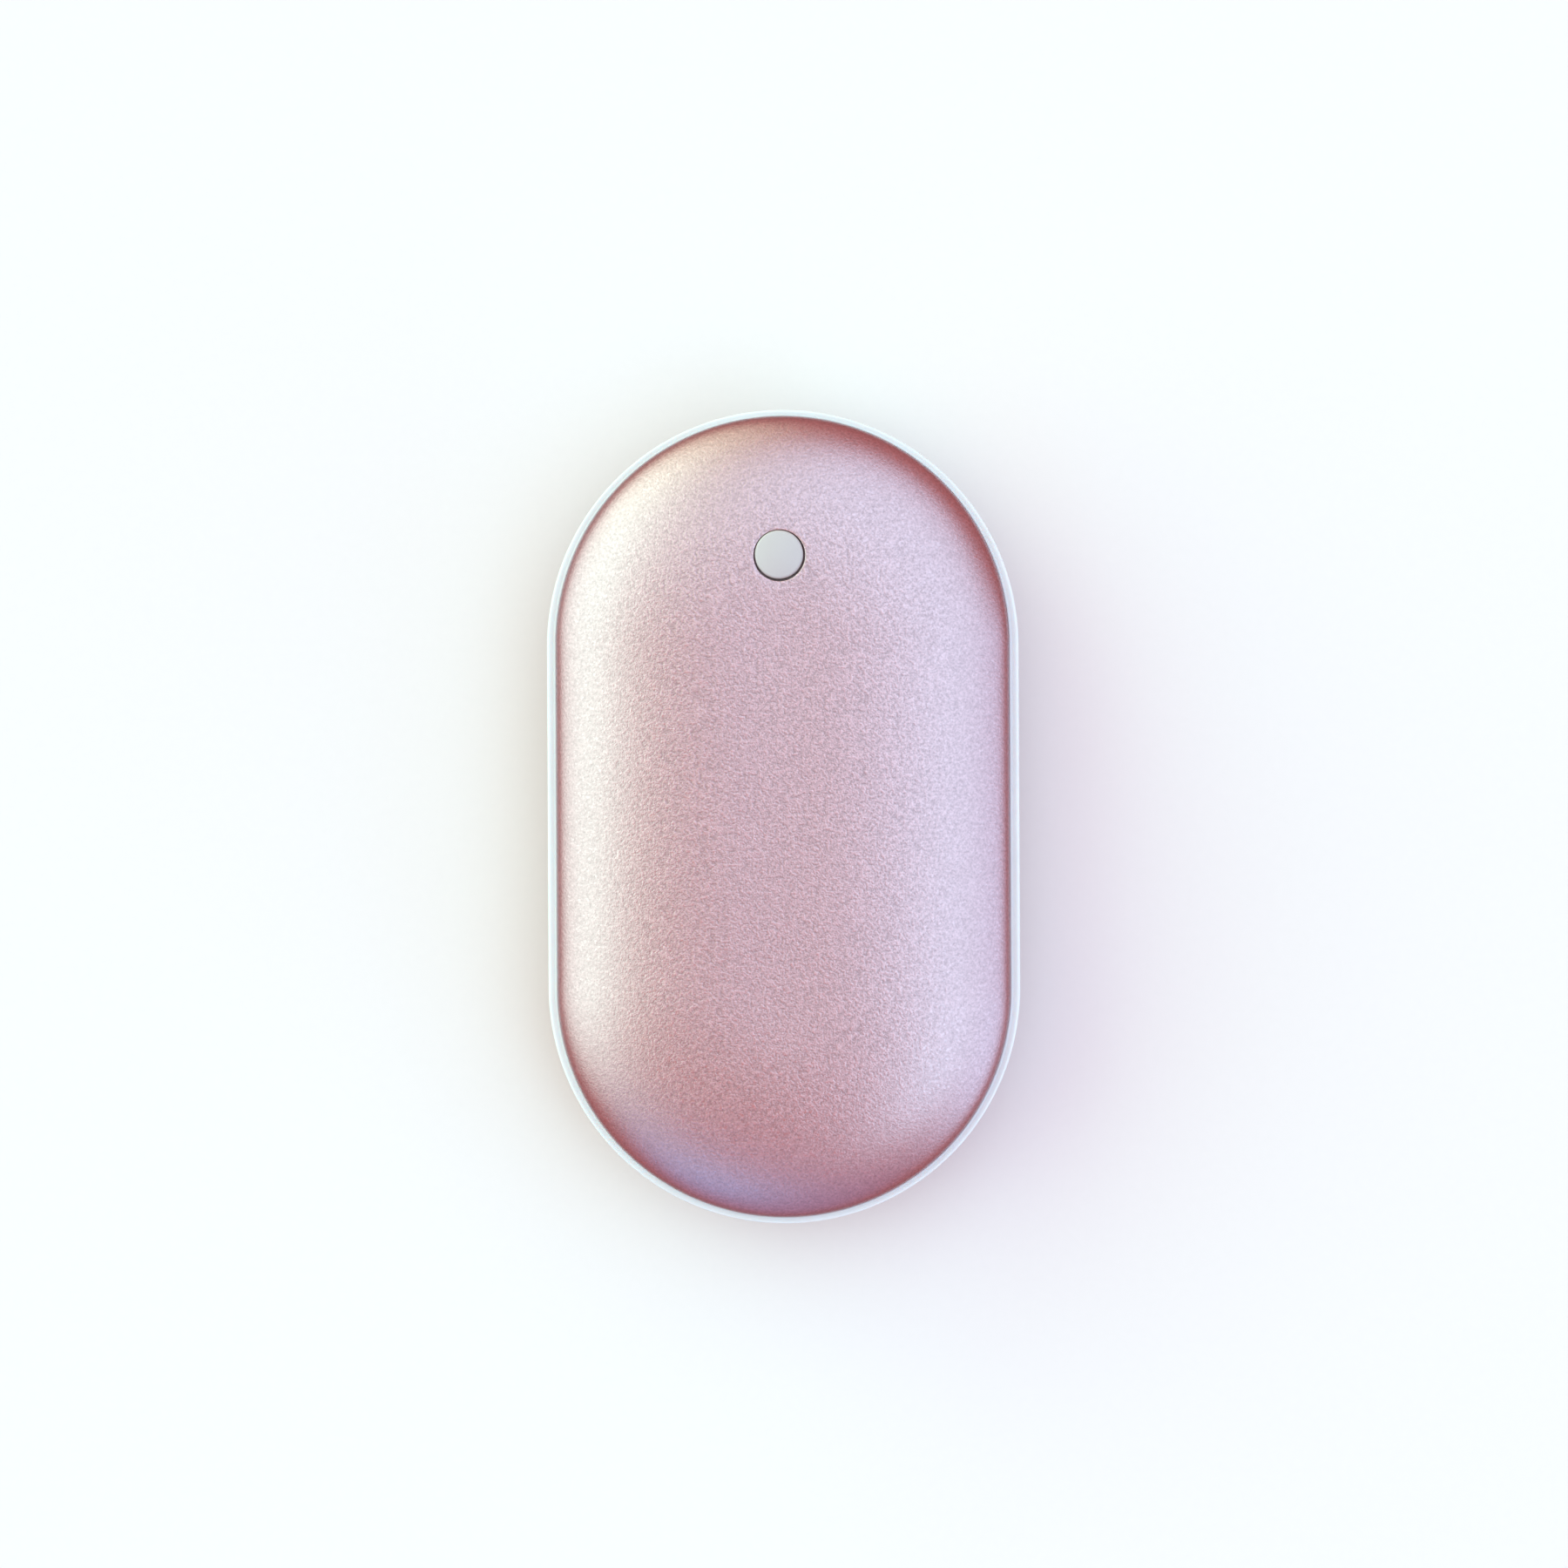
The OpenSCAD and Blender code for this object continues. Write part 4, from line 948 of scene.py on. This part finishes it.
springs = []
for side in (1, -1):
    wall_z = MID_Z - side * OUTPUT_H / 2 + side * OUTPUT_WALL
    dip = wall_z + side * (0.1 + 0.38 * np.sin(np.pi * np.clip(REACH * 1.2, 0, 1)) ** 1.4)
    middles = (OUTPUT_X - OUTPUT_W / 4, OUTPUT_X + OUTPUT_W / 4)
    springs += strip_row(middles, OUTPUT_Y - 8.5 + REACH * 5.5, dip, width=1.7, thick=0.18)
piece("output_socket_springs", springs, slot="socket_steel")

# %% [markdown]
# ## The charging socket
#
# The smaller socket is folded the same way, but its two lower corners are cut off, so a plug fits only one
# way up. Its outline is a polygon of six sides. Cutting the corners of a box would leave them sharp, so each
# corner is a short curve that leans on its knot, and the same outline, in a few widths, makes the tube and
# the moulded back of the tongue.

# %% Tube, tongue and pins of the charging socket


def charge_outline(width, height, corner=0.25, taper=0.9, steps=3):
    """Six-sided outline with its two lower corners cut off.

    Each corner is the curve (1 - t)^2 a + 2 t (1 - t) knot + t^2 b, from one side's end a to the next's b.
    """
    w, h = width / 2, height / 2
    knots = np.array([[w, h], [-w, h], [-w, -h + taper], [-w + taper, -h], [w - taper, -h], [w, -h + taper]])
    before, after = (corner * unit(np.roll(knots, step, axis=0) - knots) for step in (1, -1))
    t = np.linspace(0, 1, steps + 1)[None, :, None]
    curve = (1 - t) ** 2 * (knots + before)[:, None] + 2 * t * (1 - t) * knots[:, None]
    return (curve + t**2 * (knots + after)[:, None]).reshape(-1, 2)


def charge_loft(rings, depths):
    """Stack outlines at their depths behind the charging socket's mouth."""
    return laid_down(loft(rings, [depth - CHARGE_Y for depth in depths]), CHARGE_X, CHARGE_Z)


insets = [0.05, 0.0, 0.0, 0.04, 0.22, 0.25, 0.25, 0.2, 0.1]
depths = [0.0, 0.05, CHARGE_L - 0.04, CHARGE_L, CHARGE_L, CHARGE_L - 0.05, 0.35, 0.15, 0.0]
tube = charge_loft([charge_outline(CHARGE_W - 2 * i, CHARGE_H - 2 * i) for i in insets], depths)
piece("charging_socket_shell", [tube], looped=True, slot="socket_steel", stands_for=["micro_usb_shell"])

small, large = charge_outline(6.75, 2.1), charge_outline(6.95, 2.25)
point = np.zeros_like(small)
depths = [CHARGE_L - 1.4, CHARGE_L - 1.4, CHARGE_L - 1.3, CHARGE_L - 0.1, CHARGE_L, CHARGE_L]
plate = charge_loft([point, small, large, large, small, point], depths)
charge_back = CHARGE_Y - CHARGE_L
blade = socket_block(CHARGE_X, CHARGE_Z, width=3.7, height=0.6,
                     from_y=charge_back + 0.7, to_y=CHARGE_Y - 0.6, bevel=0.12)
piece("charging_socket_tongue", [plate, blade], slot="tongue_black", stands_for=["micro_usb_tongue"])

middles = [CHARGE_X + (number - 2) * 0.65 for number in range(5)]
arch = CHARGE_Z - 0.35 - 0.04 * np.sin(np.pi * REACH)
pins = strip_row(middles, charge_back + 1.4 + REACH * 3.0, arch, width=0.3, thick=0.1)
piece("charging_socket_contacts", pins, slot="contact_gold", stands_for=["micro_usb_contacts"])

# %% [markdown]
# ## The light bar
#
# One clear moulding carries the light of four lamps to the band: a bar that curves behind it, with a domed
# pin for each lamp. A bent box would need many cuts to look round. Here a rounded section goes along an arc,
# and the pins are turned and laid along their own directions.

# %% Bend the bar and add its pins
BAR_R, BAR_TURNS = 25.25, np.linspace(np.radians(29), np.radians(53), 26)
PIN_FROM, PIN_TO, PIN_DOME = 25.4, 28.74, 0.14


def on_arc(radius, turn, z):
    """Points round the middle of the band's end: x = -radius sin(turn), y = run + radius cos(turn)."""
    return np.stack(np.broadcast_arrays(radius * -np.sin(turn), BAND_RUN + radius * np.cos(turn), z), axis=-1)


section = rounded(width=1.3, depth=2.9, corner=0.2, steps=3)
bar = on_arc(BAR_R + section[:, :1], BAR_TURNS[None, :], LAMP_Z + section[:, 1:])
bar = capped(bar, *(on_arc(BAR_R, BAR_TURNS[k], LAMP_Z) for k in (0, -1)))[::-1]
pin = [(0, PIN_FROM), (PIN_R, PIN_FROM), (PIN_R, PIN_TO)]
pin += [(PIN_R * np.cos(t), PIN_TO + PIN_DOME * np.sin(t)) for t in np.linspace(0.25, np.pi / 2, 6)]
lamp_pins = [radial(lathe(pin, count=32), turn, LAMP_Z) for turn in LAMP_TURNS]
piece("light_bar", [bar, *lamp_pins], slot="pipe_clear", stands_for=["light_pipe"])

# %% [markdown]
# ## Foam strips
#
# Soft foam presses each heater film against its shell. A cloth simulation could squeeze it, but these strips
# are small, even and hidden. Squeezed foam bulges at its sides, so each strip is a loft with half circles for
# its sides and faces that rise a little towards the middle line.

# %% Make the foam strips
FOAM_W, FOAM_CORNER, FOAM_CROWN = 6.0, 1.3, 0.04


def foam_strip(x, low, high, length):
    """A squeezed strip: its side is a half circle, and its faces rise as a sine towards the middle line."""
    swell = (high - low) / 2
    turn = np.linspace(-np.pi / 2, np.pi / 2, 9)
    side_in = swell * (1 - np.cos(turn))
    side_up = low + swell + (swell - FOAM_CROWN) * np.sin(turn)
    face_in = np.linspace(swell, FOAM_W / 2, 7)[1:]
    face_up = FOAM_CROWN * np.sin(np.linspace(0, np.pi / 2, 7)[1:])
    insets = np.concatenate([face_in[::-1], side_in, face_in])
    heights = np.concatenate([(low + FOAM_CROWN - face_up)[::-1], side_up, high - FOAM_CROWN + face_up])
    rings = [rounded(FOAM_W - 2 * i, length - 2 * i, max(FOAM_CORNER - i, 0), steps=8) for i in insets]
    return loft(rings, heights) + (x, 0, 0)


for node in ("front_foam_pads", "back_foam_pads"):
    low, high = mm_box(node)
    middles = (low[0] + FOAM_W / 2, high[0] - FOAM_W / 2)
    strips = [foam_strip(x, low[2], high[2], high[1] - low[1]) for x in middles]
    piece(node + "_soft", strips, slot="foam", stands_for=[node])

# %% [markdown]
# ## Wires
#
# Silicone wires join the cells, heaters and cut-off to the board. A curve object with a bevel would make
# such a tube too, but a mesh is easier to close and to measure. Each wire keeps the route that it has in the
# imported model. The way between the route's points is a smooth curve, because real wire doesn't kink, and
# the tube's ends are closed by a small bevel.

# %% A tube along a smooth way


def smooth_way(points, steps=9):
    """A curve through all the points: on each stretch a cubic that leans on the points before and after."""
    p = np.asarray(points, dtype=float)
    p = np.concatenate([p[:1], p, p[-1:]])
    u = np.linspace(0, 1, steps, endpoint=False)[None, :, None]
    a, b, c, d = (p[k:len(p) - 3 + k, None] for k in range(4))
    way = 0.5 * (2 * b + (c - a) * u + (2 * a - 5 * b + 4 * c - d) * u**2 + (3 * b - a - 3 * c + d) * u**3)
    return np.concatenate([way.reshape(-1, 3), p[-1:]])


def wire(route, diameter, aside=0.0, sides=14, end_share=0.85):
    """A tube: rings of the wire's radius stand square to its way, and shrink to a point at both ends."""
    way = smooth_way(route) + (aside, 0, 0)
    ahead = unit(np.gradient(way, axis=0))
    first = unit(np.cross(ahead, (1, 0, 0)))
    second = np.cross(ahead, first)
    turn = np.linspace(0, 2 * np.pi, sides, endpoint=False)[:, None, None]
    ring = way + diameter / 2 * (np.cos(turn) * first + np.sin(turn) * second)
    bevels = [way[k] + end_share * (ring[:, k:k + 1] - way[k]) for k in (0, len(way) - 1)]
    return capped(np.concatenate([bevels[0], ring[:, 1:-1], bevels[1]], axis=1), way[0], way[-1])


print("points along a route of 3:", len(smooth_way([[0, 0, 0], [1, 0, 0], [2, 1, 0]])))

# %% Lay the wires
HEATER_TOP = [[4.4, 20.2, 22.2], [4.4, 25.5, 21.8], [4.5, 28.8, 20], [4.7, 30.6, 17.8], [4.7, 31.2, 16.1]]
HEATER_BACK = [[4.2, 20.2, 1.8], [4.2, 26, 2.2], [4.2, 29.4, 3.6], [4.4, 30.6, 8], [4.6, 30.8, 14.8]]
POSITIVE = [[-4.5, 27, 6], [-4.5, 29.2, 6.3], [-4.5, 30.6, 8.5], [-4.5, 30.8, 11.5], [-4.5, 30.8, 14.8]]
NEGATIVE = [[0, -38.7, 6.2], [0, -39.5, 5.6], [0, -39.3, 4.3], [0, -37.6, 3.6], [0, -20, 4.2], [0, 20, 4.4],
            [0, 29.2, 5.4], [0, 30.8, 8.5], [0, 30.8, 14.8]]
CUTOFF = [[0.7, 9.3, 17.4], [0.7, 20, 17.6], [0.9, 26.4, 17.9], [2.6, 28.8, 17.7], [3.4, 30.6, 16.2]]
THICK, MIDDLING, THIN, APART = 1.2, 0.8, 0.6, 1.1
wires = {
    "positive_lead": ("wire_red", [wire(POSITIVE, THICK)]),
    "negative_lead": ("wire_black", [wire(NEGATIVE, THICK)]),
    "front_heater_leads": ("wire_white", [wire(HEATER_TOP, MIDDLING, aside) for aside in (0.0, APART)]),
    "back_heater_leads": ("wire_white", [wire(HEATER_BACK, MIDDLING, aside) for aside in (0.0, APART)]),
    "cutoff_leads": ("wire_yellow", [wire(np.array(CUTOFF) * (side, 1, 1), THIN) for side in (1, -1)]),
}
for node, (colour, tubes) in wires.items():
    piece(node + "_round", tubes, slot=colour, stands_for=[node], crease=60)

# %% [markdown]
# ## The floor
#
# The warmer lies on white paper, larger than any view can show, with a faint fibre as its only detail. A
# curved backdrop would hide the horizon, but the room behind is just as pale, so a flat sheet is enough. A
# photographer keeps white paper out of shiny metal with dark cards. Here the floor is only hidden from
# mirror reflections, and the shell's steep edge stays as dark as it should.

# %% Lay the floor
FLOOR_HALF, PAPER = 4, (0.99, 0.865, 0.82)
corners = [(x * FLOOR_HALF, y * FLOOR_HALF, 0) for x, y in ((-1, -1), (1, -1), (1, 1), (-1, 1))]
floor_mesh = bpy.data.meshes.new("floor")
floor_mesh.from_pydata(corners, [], [(0, 1, 2, 3)])
floor = bpy.data.objects.new("floor", floor_mesh)
bpy.context.scene.collection.objects.link(floor)
floor.visible_glossy = False
paper = Shader("floor_paper", PAPER)
fibre = paper.noise(900, detail=3.0)
floor_mesh.materials.append(paper.finish(
    Base_Color=paper.blend(paper.spread(fibre, 0.0, 1.0), paper.tone(0.99), paper.tone(1.01)),
    Roughness=0.9, Specular_IOR_Level=0.1))
print("floor:", 2 * FLOOR_HALF, "m wide")

# %% [markdown]
# ## The light: a room with soft windows
#
# A satin metal shell is a blurred mirror, so it shows the room and not the lamps. Lamps with soft boxes
# would each need a place, a size and a strength, and would throw their own shadows. The room is a world
# shader instead: an even dim rose, and seven broad windows whose edges fade. The largest, a greenish
# white, stands at the left, and blue ones hang over the right. Little shines in low from the upper right or
# from the foot, and there the shell's edge goes dark, as in the photograph. A colour may be less than
# nothing, as a dark card takes light away: the card below keeps the underside from glowing. The camera
# itself sees a plain pale backdrop instead of the room.

# %% Hang the windows
ROOM, BACKDROP = (0.61, 0.27, 0.255), (0.99, 1.0, 1.0, 1.0)
WINDOWS = {
    # azimuth from +X, tilt from straight up, full within, gone beyond (degrees), and colour
    "left": (164, 68, 10, 54, (1.08, 2.34, 2.07)),
    "upper_left": (120, 80, 12, 34, (0.66, 1.22, 0.82)),
    "over_upper_right": (45, 35, 24, 44, (0.42, 1.1, 1.43)),
    "over_right": (-38, 37, 2, 19, (0.65, 1.65, 2.1)),
    "right": (-18, 78, 10, 40, (0.6, 1.52, 2.0)),
    "low_front": (243, 62, 8, 28, (0.0, 0.45, 0.8)),
    "under_front": (265, 84, 8, 44, (-0.06, 0.2, 0.45)),
    "below": (0, 180, 30, 60, (-0.45, -0.16, -0.15)),
}
world = bpy.data.worlds.new("studio")
world.use_nodes = True
room = world.node_tree
looking = room.nodes.new("ShaderNodeTexCoord").outputs["Generated"]


def window(light, azimuth, tilt, full, gone, colour):
    """Light plus colour times a smooth step of the angle between a direction and the window's middle."""
    a, t = np.radians([azimuth, tilt])
    middle = (np.sin(t) * np.cos(a), np.sin(t) * np.sin(a), np.cos(t))
    near = add_node(room, "VectorMath", out=1, settings={"operation": "DOT_PRODUCT"}, i0=looking, i1=middle)
    edge_from, edge_to = (float(np.cos(np.radians(angle))) for angle in (gone, full))
    share = add_node(room, "MapRange", settings={"interpolation_type": "SMOOTHSTEP"},
                     Value=near, From_Min=edge_from, From_Max=edge_to)
    glow = add_node(room, "VectorMath", settings={"operation": "SCALE"}, i0=colour, Scale=share)
    return add_node(room, "VectorMath", settings={"operation": "ADD"}, i0=light, i1=glow)


light = add_node(room, "VectorMath", settings={"operation": "ADD"}, i0=ROOM, i1=(0, 0, 0))
for values in WINDOWS.values():
    light = window(light, *values)
lit_by = room.nodes["Background"]
room.links.new(light, lit_by.inputs["Color"])
seen = add_node(room, "Background", Color=BACKDROP)
either = add_node(room, "MixShader", i0=add_node(room, "LightPath"), i1=lit_by.outputs[0], i2=seen)
room.links.new(either, room.nodes["World Output"].inputs["Surface"])
bpy.context.scene.world = world
bpy.context.scene.view_settings.view_transform = "Standard"
print("windows and card:", ", ".join(WINDOWS))

# %% [markdown]
# ## The camera
#
# It hangs 35 cm above the frame's face and 13 mm to the right of the middle, and looks almost straight
# down. From there the button, which stands 8 mm higher than the rim, shifts a little to the upper left. A
# camera exactly over the middle would be simpler, but would show the button in the wrong place. The lens
# gives 9.35 pixels of the 1800 to a millimetre at the rim.

# %% Hang the camera
PIXELS, SENSOR, SCALE = 1800, 36.0, 9.349
TARGET, ASIDE, ABOVE, LEAN = np.array([0.17, 4.0, BAND_TOP]), 13.0, 350.0, np.radians(-0.28)
reach_out = np.hypot(ASIDE, ABOVE)
camera = bpy.data.objects.new("camera", bpy.data.cameras.new("camera"))
camera.data.sensor_width = SENSOR
camera.data.lens = SCALE * SENSOR * reach_out / PIXELS
camera.location = (TARGET + (ASIDE * np.cos(LEAN), ASIDE * np.sin(LEAN), ABOVE)) * MM
camera.rotation_euler = (0, np.arctan2(ASIDE, ABOVE), LEAN)
bpy.context.scene.collection.objects.link(camera)
bpy.context.scene.camera = camera
print(f"lens {camera.data.lens:.1f} mm, {reach_out:.0f} mm away")
